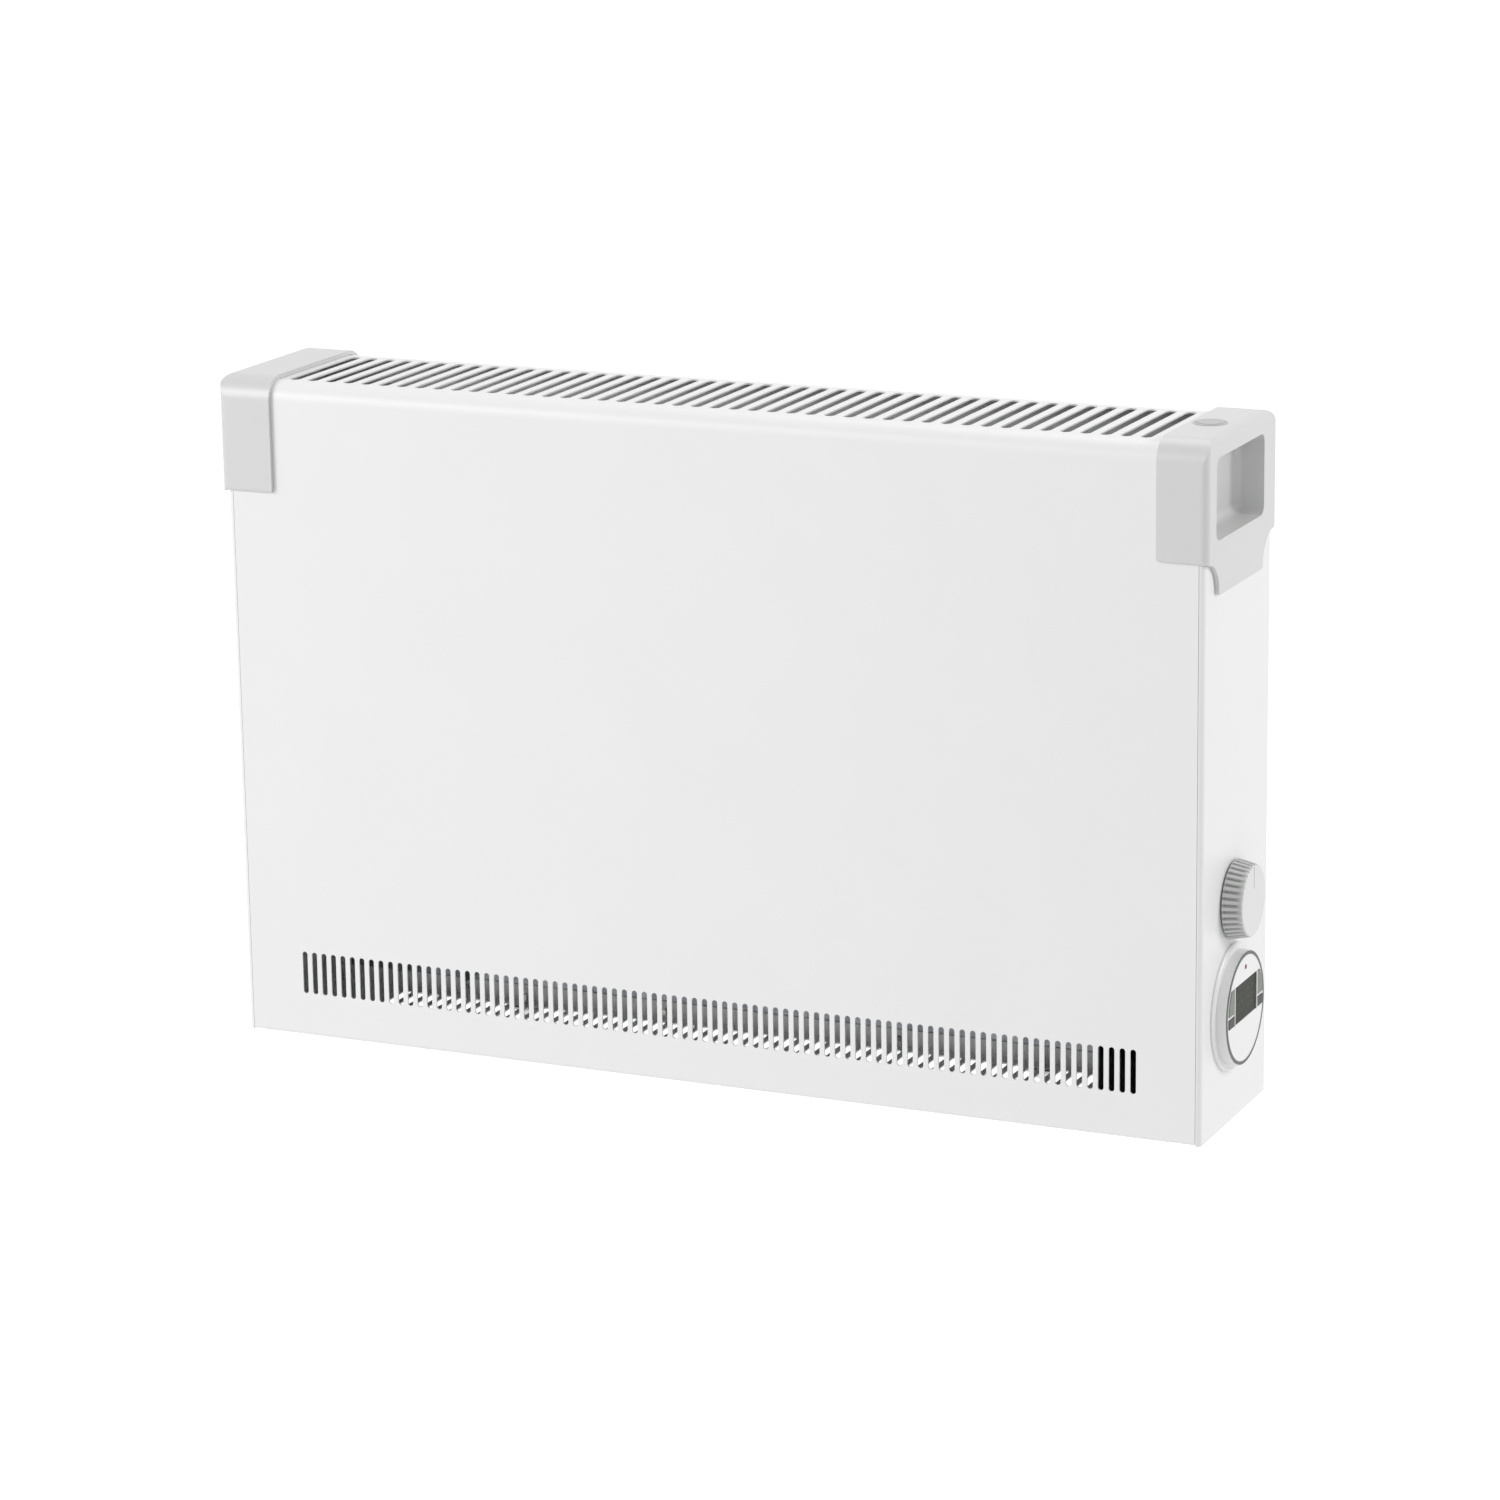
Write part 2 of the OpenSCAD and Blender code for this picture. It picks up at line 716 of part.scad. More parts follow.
module back_panel() {
    hook_way = hook_lip + bracket_t + cut_over;
    color(zinc) difference() {
        union() {
            along_y(y_lip, sheet_t)
                patch(-x_side + seam, z_low, x_side - seam, z_top - back_bend_r - seam);
            for (k = [0 : 2]) along_y(y_lip, sheet_t + rib_h)
                rib_sketch(0, z_low + rib_rise + k * rib_pitch);
        }
        for (k = [0 : 2]) along_y(y_lip - cut_over, rib_h + cut_over)
            rib_sketch(sheet_t, z_low + rib_rise + k * rib_pitch);
        for (p = concat(casing_screw_places, cap_screw_places))
            bar_y(p[0], y_lip - cut_over, p[1], sheet_t + 2 * cut_over, screw_r + seat);
        for (s = [-1, 1]) along_y(y_lip - cut_over, sheet_t + 2 * cut_over)
            patch(s * screw_span / 2 - hook_w / 2 - cut_over, hook_rise - hook_way,
                s * screw_span / 2 + hook_w / 2 + cut_over, hook_rise + seat);
    }
}

module sheet_screw(x, y, z) {
    bar_y(x, y - screw_l, z, screw_l, screw_r);
    translate([x, y, z]) rotate([-90, 0, 0])
        cylinder(h = screw_head_h, r1 = screw_head_r, r2 = screw_head_r - screw_head_h / 2);
}

module casing_screws() {
    color("silver") for (p = casing_screw_places) sheet_screw(p[0], y_back + seat, p[1]);
}

module cap_screws() {
    color("silver") for (p = cap_screw_places) sheet_screw(p[0], y_cap_back + seat, p[1]);
}

// Handle caps

module cap_side_sketch() {
    difference() {
        patch(y_cap_front, z_strip, y_cap_back, z_cap_top);
        corner(y_cap_front, z_cap_top, 1, -1, cap_top_r);
        corner(y_cap_back, z_cap_top, -1, -1, cap_back_r);
        corner(y_cap_front, z_strip, 1, 1, cap_proud);
        corner(y_cap_back, z_strip, -1, 1, cap_proud);
    }
    difference() {
        patch(y_front + tongue_front, z_tongue, y_back - tongue_back, z_strip + cut_over);
        corner(y_front + tongue_front, z_tongue, 1, 1, tongue_r);
        corner(y_back - tongue_back, z_tongue, -1, 1, tongue_r);
    }
    fillet(y_front + tongue_front, z_strip, -1, -1, tongue_flare_r);
    fillet(y_back - tongue_back, z_strip, 1, -1, tongue_flare_r);
}

module cap_plan_sketch(s) {
    difference() {
        patch(x_cap_in(s), y_cap_front, x_cap_out, y_cap_back);
        corner(x_cap_out, y_cap_front, -1, 1, cap_edge_r);
        corner(x_cap_out, y_cap_back, -1, -1, cap_edge_r);
    }
}

module cap_front_sketch(s) {
    difference() {
        patch(x_cap_in(s), z_tongue, x_cap_out, z_cap_top);
        corner(x_cap_out, z_cap_top, -1, -1, cap_shoulder_r);
        patch(x_cap_in(s) - cut_over, z_tongue - cut_over, x_side, z_strip);
        corner(x_cap_in(s), z_strip, 1, 1, cap_strip_r);
    }
}

module casing_room(s) {
    along_x(x_cap_in(s) - cut_over, x_side - x_cap_in(s) + seat + cut_over) difference() {
        patch(y_front - seat, z_tongue - cut_over, y_back + seat, z_top + seat);
        corner(y_front - seat, z_top + seat, 1, -1, top_bend_r + seat);
        corner(y_back + seat, z_top + seat, -1, -1, back_bend_r + seat);
    }
}

// The pocket's room, with the same radius round its opening and along its inner edges
module pocket_room() {
    x0 = x_pocket + pocket_r;
    ys = [y_pocket_front + pocket_r, y_pocket_back - pocket_r];
    zs = [z_pocket_floor + pocket_r, z_pocket_roof - pocket_r];
    along_x(x0, pocket_d - pocket_r + cut_over)
        soft_patch(y_pocket_front, z_pocket_floor, y_pocket_back, z_pocket_roof, pocket_r);
    along_x(x_pocket, pocket_r + cut_over) patch(ys[0], zs[0], ys[1], zs[1]);
    for (z = zs) bar_y(x0, ys[0], z, ys[1] - ys[0], pocket_r);
    for (y = ys) bar_z(x0, y, zs[0], zs[1] - zs[0], pocket_r);
    for (y = ys, z = zs) translate([x0, y, z]) sphere(pocket_r);
}

module handle_cap(s) {
    mirror_x(s) difference() {
        union() {
            difference() {
                intersection() {
                    along_x(x_cap_in(s), x_cap_out - x_cap_in(s)) cap_side_sketch();
                    along_z(z_tongue, z_cap_top - z_tongue) cap_plan_sketch(s);
                    along_y(y_cap_front, y_cap_back - y_cap_front) cap_front_sketch(s);
                }
                casing_room(s);
            }
            along_x(x_pocket - pocket_wall, pocket_d + pocket_wall - cap_proud / 2)
                soft_patch(y_pocket_front - pocket_wall, z_pocket_floor - pocket_wall,
                    y_pocket_back + pocket_wall, z_pocket_roof + pocket_wall,
                    pocket_r + pocket_wall);
        }
        pocket_room();
        for (p = cap_screw_places)
            if (p[0] > 0)
                bar_y(p[0], y_back - cut_over, p[1], cap_proud + 2 * cut_over, screw_r + seat);
    }
}

module left_handle_cap() {
    color(cap_grey) handle_cap(-1);
}

module right_handle_cap() {
    color(cap_grey) difference() {
        handle_cap(1);
        bar_z(x_button, y_button, z_top, cap_crown + cut_over,
            button_r + key_fit + collar_wall + seat);
    }
}

// Power button

module power_collar() {
    sleeve_r = button_r + key_fit + collar_wall;
    color(cap_grey) difference() {
        union() {
            bar_z(x_button, y_button, z_top + 2 * seat, cap_crown, sleeve_r);
            bar_z(x_button, y_button, z_cap_top + seat / 2, collar_t, sleeve_r + collar_rim);
        }
        bar_z(x_button, y_button, z_top, 2 * cap_crown, button_r + key_fit);
    }
}

module power_button() {
    z_face = z_cap_top + button_proud;
    z_base = z_cap_top - button_travel;
    z_stem = z_switch + switch_h - 2 * seat;
    edge = collar_t;
    color("#a9abaa") translate([x_button, y_button, 0]) union() {
        bar_z(0, 0, z_base, z_face - edge - z_base, button_r);
        translate([0, 0, z_face - edge]) cylinder(h = edge, r1 = button_r, r2 = button_r - edge);
        bar_z(0, 0, z_stem, z_face - edge - z_stem, stem_r);
    }
}

module power_switch() {
    half = switch_w / 2;
    well = button_travel + 3 * seat;
    color("black") difference() {
        along_z(z_switch, switch_h)
            patch(x_button - half, y_button - half, x_button + half, y_button + half);
        bar_z(x_button, y_button, z_switch + switch_h - well, well + cut_over, stem_r + key_fit);
    }
}

// Air guide and heat shield

module air_guide() {
    x0 = x_support + inner_t + seat;
    x1 = x_partition - seat;
    z_shelf = z_low + guide_rise;
    count = floor((x1 - x0 - 2 * guide_end_gap) / guide_pitch) + 1;
    color(powder_white) difference() {
        along_x(x0, x1 - x0) {
            patch(y_front + sheet_t + seat, z_shelf - inner_t, y_front + guide_d, z_shelf);
            patch(y_front + guide_d - inner_t, z_low + sheet_t, y_front + guide_d, z_shelf);
            patch(y_front + guide_d - inner_t, z_low + sheet_t, y_front + guide_d + guide_foot,
                z_low + sheet_t + inner_t);
        }
        for (i = [0 : count - 1]) along_z(z_shelf - inner_t - cut_over, inner_t + 2 * cut_over)
            upright_slot((x0 + x1) / 2 + (i - (count - 1) / 2) * guide_pitch,
                y_front + guide_slot_front, y_front + guide_d - guide_slot_back, guide_slot_w / 2);
    }
}

module heat_shield() {
    y0 = y_front + shield_gap;
    color(zinc) {
        along_y(y0, inner_t) patch(x_support - flange_w, z_low + shield_rise,
            x_partition + inner_t, z_low + shield_top);
        along_z(z_low + shield_top - inner_t, inner_t)
            patch(x_support - flange_w, y0, x_partition - seat, y0 + flange_w);
        along_z(z_low + shield_rise, inner_t)
            patch(x_support + inner_t + seat, y0, x_partition - seat, y0 + flange_w / 2);
    }
}

// Sheets that carry the elements; the flanges point away from the hot side

module element_sheet(x, away, h) {
    y0 = y_front + shield_gap + inner_t;
    y1 = y_lip;
    z0 = z_low + sheet_t;
    x_tip = x + (away < 0 ? -flange_w : inner_t + flange_w);
    x_low = min(x, x_tip);
    x_high = max(x + inner_t, x_tip);
    difference() {
        union() {
            along_x(x, inner_t) patch(y0, z0, y1, z0 + h);
            along_y(y0, inner_t) patch(x_low, z_low + shield_rise, x_high, z0 + h);
            along_y(y1 - inner_t, inner_t) patch(x_low, z_low + back_lip + seam, x_high, z0 + h);
        }
        for (z = [z_lower_element, z_upper_element])
            bar_x(x - cut_over, y_element, z, inner_t + 2 * cut_over, ceramic_neck_r + seat);
        along_x(x - cut_over, inner_t + 2 * cut_over)
            patch(y1 - back_lip - cut_over, z0 - cut_over, y1 + cut_over, z_low + back_lip + seam);
    }
}

module left_support() {
    color(zinc) element_sheet(x_support, -1, support_h);
}

module control_partition() {
    color(zinc) difference() {
        element_sheet(x_partition, 1, partition_h);
        bar_x(x_partition - cut_over, y_bulb, z_bulb, inner_t + 2 * cut_over, bulb_r + seat);
    }
}

// Heating elements

module element_sheath(z) {
    x0 = x_support - sheath_out;
    bar_x(x0, y_element, z, x_partition + inner_t + sheath_out - x0, sheath_r);
}

module lower_element() {
    color("#8f8a84") element_sheath(z_lower_element);
}

module upper_element() {
    color("#8f8a84") element_sheath(z_upper_element);
}

module fin_row(z) {
    x0 = x_support + inner_t + fin_end_gap;
    count = floor((x_partition - fin_end_gap - x0 - fin_t) / fin_pitch) + 1;
    for (i = [0 : count - 1]) along_x(x0 + i * fin_pitch, fin_t) difference() {
        soft_patch(y_element - fin_w / 2, z - fin_h / 2, y_element + fin_w / 2, z + fin_h / 2, fin_r);
        translate([y_element, z]) circle(sheath_r + shaft_fit);
    }
}

module lower_fins() {
    color("#c9cbcc") fin_row(z_lower_element);
}

module upper_fins() {
    color("#c9cbcc") fin_row(z_upper_element);
}

module element_bushes() {
    neck_l = inner_t + 2 * ceramic_t - ceramic_t / 2;
    color("#efe9dc") for (z = [z_lower_element, z_upper_element], s = [-1, 1]) {
        x_outer = s < 0 ? x_support - ceramic_t : x_partition + inner_t;
        x_neck = s < 0 ? x_support - ceramic_t : x_partition - ceramic_t / 2;
        difference() {
            union() {
                bar_x(x_outer, y_element, z, ceramic_t, ceramic_r);
                bar_x(x_neck, y_element, z, neck_l, ceramic_neck_r);
            }
            bar_x(x_neck - cut_over, y_element, z, neck_l + 2 * cut_over, sheath_r + shaft_fit);
        }
    }
}

module element_terminals() {
    color("silver") for (z = [z_lower_element, z_upper_element], s = [-1, 1]) {
        x_end = s < 0 ? x_support - sheath_out : x_partition + inner_t + sheath_out;
        translate([x_end, y_element, z]) rotate([0, s * 90, 0]) {
            cylinder(h = stud_l, r = stud_r);
            translate([0, 0, stud_nut_t]) cylinder(h = stud_nut_t, r = stud_nut_w / 2, $fn = 6);
        }
    }
}

// Thermal cut-out on its bracket

module cutout_bracket() {
    z0 = z_low + cutout_rise;
    color(zinc) difference() {
        union() {
            along_z(z0, inner_t) patch(-cutout_w / 2, y_lip - cutout_reach, cutout_w / 2, y_lip);
            along_y(y_lip - inner_t, inner_t)
                patch(-cutout_w / 2, z0, cutout_w / 2, z0 + cutout_foot);
        }
        bar_z(0, y_lip - cutout_reach + cutout_w / 2, z0 - cut_over, inner_t + 2 * cut_over,
            cutout_r / 2);
    }
}

module thermal_cutout() {
    z0 = z_low + cutout_rise + inner_t;
    y0 = y_lip - cutout_reach + cutout_w / 2;
    color("#3a3a3a") {
        bar_z(0, y0, z0, cutout_h, cutout_r);
        bar_z(0, y0, z0 - inner_t - tab_t, 2 * inner_t + tab_t, cutout_r / 2 - seat);
        for (s = [-1, 1]) along_z(z0 + cutout_h - tab_t - seat, tab_t)
            patch(s < 0 ? -cutout_r - tab_l : 0, y0 - tab_w / 2, s < 0 ? 0 : cutout_r + tab_l,
                y0 + tab_w / 2);
    }
}

// Thermostat

module thermostat_body() {
    x_in = x_side - sheet_t;
    color("#d8d2c4") difference() {
        union() {
            along_x(x_in - stat_d, stat_d)
                soft_patch(y_control - stat_w / 2, z_knob - stat_h / 2,
                    y_control + stat_w / 2, z_knob + stat_h / 2, hub_r / 2);
            bar_x(x_in - stat_d / 2, y_control, z_knob, stat_d / 2 + sheet_t + bush_out, bush_r);
        }
        bar_x(x_in - stat_d + hub_r, y_control, z_knob,
            stat_d + sheet_t + bush_out + cut_over, shaft_r + shaft_fit);
    }
}

module thermostat_nut() {
    color("silver") translate([x_side + seat / 2, y_control, z_knob]) rotate([0, 90, 0]) difference() {
        cylinder(h = nut_t, r = nut_w / 2, $fn = 6);
        translate([0, 0, -cut_over]) cylinder(h = nut_t + 2 * cut_over, r = bush_r + seat / 2);
    }
}

module thermostat_shaft() {
    x_root = x_side - sheet_t - stat_d + hub_r + seat;
    color("silver") bar_x(x_root, y_control, z_knob, x_side + shaft_out - x_root, shaft_r);
}

// The knob is drawn round z with its face up, then turned to face +X

module knob_section() {
    difference() {
        polygon([[0, 0], [knob_r, 0], [knob_r, knob_wall / 2], [knob_face_r, knob_h], [0, knob_h]]);
        corner(knob_face_r, knob_h, -1, -1, knob_edge_r);
    }
}

module thermostat_knob() {
    lean = atan((knob_r - knob_face_r) / (knob_h - knob_wall / 2));
    hollow_r = knob_face_r - knob_wall;
    bore_h = shaft_out - knob_gap + seat;
    hub_h = bush_out - knob_gap + seat;
    color(powder_white) translate([x_side + knob_gap, y_control, z_knob]) rotate([0, 90, 0])
        difference() {
            rotate_extrude() knob_section();
            for (i = [0 : knob_grooves - 1]) rotate([0, 0, (i + 0.5) * 360 / knob_grooves])
                translate([knob_r + groove_r / 4, 0, knob_wall / 2]) rotate([0, -lean, 0])
                    cylinder(h = 2 * knob_h, r = groove_r, $fn = 16);
            translate([0, 0, -cut_over]) difference() {
                cylinder(h = knob_h - knob_wall + cut_over, r = hollow_r);
                translate([0, 0, hub_h + cut_over]) cylinder(h = knob_h, r = hub_r);
            }
            translate([0, 0, -cut_over]) cylinder(h = bore_h + cut_over, r = shaft_r + shaft_fit / 2);
            translate([-knob_face_r + knob_edge_r, -pointer_w / 2, knob_h - pointer_t])
                cube([pointer_l, pointer_w, pointer_t + cut_over]);
        }
}

module sensor_capillary() {
    x_stat = x_side - sheet_t - stat_d;
    x_neck = x_partition - sheath_out / 2;
    bow = (x_stat - x_partition) / 2;
    route = concat(
        curve_points([x_stat - 2 * seat, y_control, z_knob], [x_stat - bow, y_control, z_knob],
            [x_partition + bow, y_bulb, z_bulb], [x_partition + 2 * inner_t, y_bulb, z_bulb], 14),
        [[x_neck + capillary_r, y_bulb, z_bulb]]);
    color("#b87342") {
        lead(route, capillary_r, [0, 1, 0.5]);
        bar_x(x_neck - bulb_l, y_bulb, z_bulb, bulb_l + 2 * capillary_r, bulb_r);
    }
}

module sensor_clips() {
    x_neck = x_partition - sheath_out / 2;
    color("silver") for (k = [0.2, 0.8]) {
        x0 = x_neck - k * bulb_l - clip_w / 2;
        along_x(x0, clip_w) difference() {
            union() {
                translate([y_bulb, z_bulb]) circle(bulb_r + seat + clip_t);
                patch(y_bulb, z_bulb + bulb_r + seat, y_lip, z_bulb + bulb_r + seat + clip_t);
                patch(y_lip - clip_t, z_bulb + bulb_r + seat, y_lip, z_bulb + bulb_r + clip_w);
            }
            translate([y_bulb, z_bulb]) circle(bulb_r + seat);
        }
    }
}

// Timer; its sketches are drawn round its middle as y and z

module timer_x(x, len) {
    along_x(x_side + x, len) translate([y_control, z_timer]) children();
}

module ring(r_out, r_in) {
    difference() {
        circle(r_out);
        circle(r_in);
    }
}

module timer_bezel() {
    edge = bezel_t / 2;
    color(powder_white) difference() {
        union() {
            timer_x(seat / 2, bezel_t - edge) circle(bezel_r);
            translate([x_side + bezel_t - edge, y_control, z_timer]) rotate([0, 90, 0])
                cylinder(h = edge, r1 = bezel_r, r2 = bezel_r - edge);
            timer_x(bezel_t - edge, face_h - 2 * seat - bezel_t + edge) circle(drum_r);
        }
        timer_x(-cut_over, face_h + 2 * cut_over) circle(bezel_bore_r);
        timer_x(bezel_t, face_h + cut_over) circle(drum_r - drum_wall);
    }
}

module key_sketch(s, upper, grow) {
    y_in = lcd_w / 2 + key_gap;
    z_low_key = -key_drop;
    z_split = z_low_key + lower_key_h;
    z0 = upper ? z_split + key_split : z_low_key;
    z1 = upper ? z0 + upper_key_h : z_split;
    rim = drum_r - drum_wall - face_gap - key_margin;
    intersection() {
        circle(rim + grow);
        mirror([s < 0 ? 1 : 0, 0]) patch(y_in - grow, z0 - grow, rim + grow, z1 + grow);
    }
}

module lcd_sketch(grow) {
    patch(-lcd_w / 2 - grow, lcd_rise - lcd_h / 2 - grow, lcd_w / 2 + grow,
        lcd_rise + lcd_h / 2 + grow);
}

module timer_face() {
    r = drum_r - drum_wall - face_gap;
    color(powder_white) {
        timer_x(face_h - face_t, face_t) difference() {
            circle(r);
            lcd_sketch(seat);
            for (s = [-1, 1], upper = [true, false]) key_sketch(s, upper, key_fit);
            translate([0, lamp_rise]) circle(lamp_r + seat / 2);
        }
        timer_x(bezel_t + seat, face_h - bezel_t - seat) ring(r, r - skirt_wall);
    }
}

module timer_circuit_board() {
    color("darkgreen") timer_x(bezel_t + seat, board_t)
        circle(drum_r - drum_wall - face_gap - skirt_wall - seat);
}

module lcd_module() {
    x0 = bezel_t + board_t + 2 * seat;
    color("#59605a") timer_x(x0, face_h - face_t - seat / 2 - x0) lcd_sketch(key_gap / 3);
}

module lcd_window() {
    color("#464b3c") timer_x(face_h - face_t, face_t - seat) lcd_sketch(0);
}

module timer_lamp() {
    x0 = bezel_t + board_t + 2 * seat;
    color("#a03030") timer_x(x0, face_h + seat - x0) translate([0, lamp_rise]) circle(lamp_r);
}

module timer_key(s, upper) {
    timer_x(face_h + key_proud - key_t, key_t) key_sketch(s, upper, 0);
}

module front_upper_key() {
    color("#8b9089") timer_key(-1, true);
}

module back_upper_key() {
    color("#8b9089") timer_key(1, true);
}

module front_lower_key() {
    color("#4f534e") timer_key(-1, false);
}

module back_lower_key() {
    color("#4f534e") timer_key(1, false);
}

module timer_housing() {
    clamp_r = housing_r + skirt_wall;
    color("#2d2f30") difference() {
        union() {
            timer_x(-housing_d, housing_d) circle(housing_r);
            timer_x(-sheet_t - housing_wall - seat, housing_wall) circle(clamp_r);
        }
        timer_x(-housing_d + housing_wall, housing_d) circle(housing_r - housing_wall);
    }
}

// Supply

x_block = x_partition + inner_t + flange_w / 2;
y_block = y_lip - block_back - block_w;
z_block = z_low + sheet_t;

module block_screw_centres() {
    for (i = [0 : 2], j = [0, 1])
        translate([x_block + (i + 0.5) * block_l / 3, y_block + (2 * j + 1) * block_w / 4, 0])
            children();
}

module terminal_block() {
    color("ivory") difference() {
        along_z(z_block, block_h) patch(x_block, y_block, x_block + block_l, y_block + block_w);
        block_screw_centres() bar_z(0, 0, z_block + block_h - block_well - block_screw_l,
            block_well + block_screw_l + cut_over, block_screw_r + seat / 2);
        for (i = [1, 2]) along_z(z_block + block_h / 2, block_h)
            patch(x_block + i * block_l / 3 - seat, y_block - cut_over,
                x_block + i * block_l / 3 + seat, y_block + block_w + cut_over);
    }
}

module terminal_screws() {
    color("goldenrod") block_screw_centres()
        bar_z(0, 0, z_block + block_h - block_well - block_screw_l, block_screw_l, block_screw_r);
}

module earth_stud() {
    x0 = x_partition + inner_t + flange_w + block_l / 2;
    color("goldenrod") {
        bar_y(x0, y_lip - earth_l, z_low + earth_rise, earth_l, earth_r);
        translate([x0, y_lip - 2 * stud_nut_t, z_low + earth_rise]) rotate([-90, 0, 0])
            cylinder(h = 2 * stud_nut_t, r = stud_nut_w / 2, $fn = 6);
    }
}

module cord_gland() {
    x0 = x_side - gland_in;
    y0 = y_back - gland_back;
    color("#2d2f30") difference() {
        union() {
            bar_z(x0, y0, z_low - gland_low - seat, gland_low, gland_r);
            bar_z(x0, y0, z_low - gland_low - seat, gland_low + sheet_t + gland_up, gland_neck_r);
            bar_z(x0, y0, z_low + sheet_t + seat, gland_up - seat, gland_r);
        }
        bar_z(x0, y0, z_low - gland_low - cut_over, gland_low + sheet_t + gland_up + 2 * cut_over,
            gland_bore_r);
    }
}

// Inner leads, held at both ends

z_lead_foot = z_block + block_h - block_well;

function block_way(i) = [x_block + (i + 0.5) * block_l / 3, y_block + block_w / 4, z_lead_foot];

module switch_lead() {
    start = block_way(1) + [0, 0, seat];
    end = [x_pocket - pocket_wall - lead_r - seat, y_button, z_switch - seat];
    color("saddlebrown") lead(curve_points(start, start + [0, 0, mount_rise / 2],
        end - [0, 0, mount_rise / 2], end, 16), lead_r, [0.2, 1, 0]);
}

module timer_lead() {
    start = block_way(2) + [0, 0, seat];
    end = [x_side - housing_d - 2 * seat, y_control, z_timer];
    color("steelblue") lead(curve_points(start, start + [0, 0, timer_rise / 2],
        end - [block_l / 3, 0, 0], end, 12), lead_r, [0, 1, 0]);
}

module element_lead() {
    x_end = x_partition + inner_t + sheath_out + 2 * stud_nut_t + lead_r;
    start = block_way(0) + [0, block_w / 2, seat];
    end = [x_end, y_element, z_lower_element - stud_r - lead_r];
    color("saddlebrown") lead(curve_points(start, start + [0, 0, element_rise / 2],
        end - [0, 0, element_rise / 3], end, 12), lead_r, [0.2, 1, 0]);
}

module earth_lead() {
    x0 = x_partition + inner_t + flange_w + block_l / 2;
    start = block_way(2) + [0, block_w / 2, seat];
    end = [x0, y_lip - 2 * stud_nut_t - lead_r, z_low + earth_rise + earth_r + lead_r];
    color("yellowgreen") lead(curve_points(start, start + [0, 0, earth_rise],
        end + [0, 0, earth_rise], end, 14), lead_r, [0.1, 1, 0.1]);
}

// Wall bracket: two channel legs, a crossbar, hooks at the top and lugs at the bottom

module bracket_leg(s) {
    x0 = s * screw_span / 2;
    z_lug = z_low - bracket_t - seat;
    y_hook = y_lip - seat - bracket_t;
    along_y(-bracket_t, bracket_t) patch(x0 - leg_w / 2, z_lug, x0 + leg_w / 2, hook_rise);
    for (k = [-1, 1]) along_z(z_lug + leg_w, hook_rise - z_lug - 2 * leg_w)
        patch(x0 + k * (leg_w - bracket_t) / 2 - bracket_t / 2, -leg_fold,
            x0 + k * (leg_w - bracket_t) / 2 + bracket_t / 2, 0);
    along_z(hook_rise - bracket_t, bracket_t) patch(x0 - hook_w / 2, y_hook, x0 + hook_w / 2, 0);
    along_y(y_hook, bracket_t)
        patch(x0 - hook_w / 2, hook_rise - bracket_t, x0 + hook_w / 2, hook_rise + hook_lip);
    along_z(z_lug, bracket_t) patch(x0 - hook_w / 2, y_back - lug_reach, x0 + hook_w / 2, 0);
}

module wall_bracket() {
    color("#9a9ea1") difference() {
        union() {
            for (s = [-1, 1]) bracket_leg(s);
            along_y(-bracket_t, bracket_t)
                patch(-screw_span / 2, -bar_h / 2, screw_span / 2, bar_h / 2);
            for (k = [-1, 1]) along_z(k * (bar_h - bracket_t) / 2 - bracket_t / 2, bracket_t)
                patch(-(screw_span - leg_w) / 2, -leg_fold, (screw_span - leg_w) / 2, 0);
        }
        for (s = [-1, 1], k = [-1, 1])
            bar_y(s * screw_span / 2, -bracket_t - cut_over, k * screw_drop / 2,
                bracket_t + 2 * cut_over, screw_hole_r);
        for (s = [-1, 1])
            bar_z(s * screw_span / 2, y_back - lug_reach / 2, z_low - bracket_t - seat - cut_over,
                bracket_t + 2 * cut_over, lock_r + seat);
    }
}

module locking_screws() {
    z_lug = z_low - bracket_t - 2 * seat;
    color("silver") for (s = [-1, 1]) {
        bar_z(s * screw_span / 2, y_back - lug_reach / 2, z_lug - lock_head_h, lock_head_h,
            lock_head_r);
        bar_z(s * screw_span / 2, y_back - lug_reach / 2, z_lug - lock_head_h,
            lock_head_h + lock_l, lock_r);
    }
}

front_casing();
left_end_panel();
right_end_panel();
back_panel();
casing_screws();
left_handle_cap();
right_handle_cap();
cap_screws();
air_guide();
heat_shield();
left_support();
control_partition();
lower_element();
upper_element();
lower_fins();
upper_fins();
element_bushes();
element_terminals();
cutout_bracket();
thermal_cutout();
thermostat_body();
thermostat_nut();
thermostat_shaft();
thermostat_knob();
sensor_capillary();
sensor_clips();
timer_bezel();
timer_face();
timer_housing();
timer_circuit_board();
lcd_module();
lcd_window();
timer_lamp();
front_upper_key();
back_upper_key();
front_lower_key();
back_lower_key();
power_button();
power_collar();
power_switch();
terminal_block();
terminal_screws();
earth_stud();
cord_gland();
switch_lead();
timer_lead();
element_lead();
earth_lead();
wall_bracket();
locking_screws();
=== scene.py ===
# %% [markdown]
# # A wall panel convector heater
# The heater is a bent steel casing with air slots low in the front, in the underside and in the top.
# Cool air enters low, passes two finned elements and leaves through the top.
# The construction comes ready made from CAD, in metres, with the wall at y = 0 and the front facing -Y.
# This script gives each piece its finish, adds what is finer than the CAD, and sets up the picture.

# %% Load the construction
import math

import bmesh
import bpy
from mathutils import Matrix, Vector


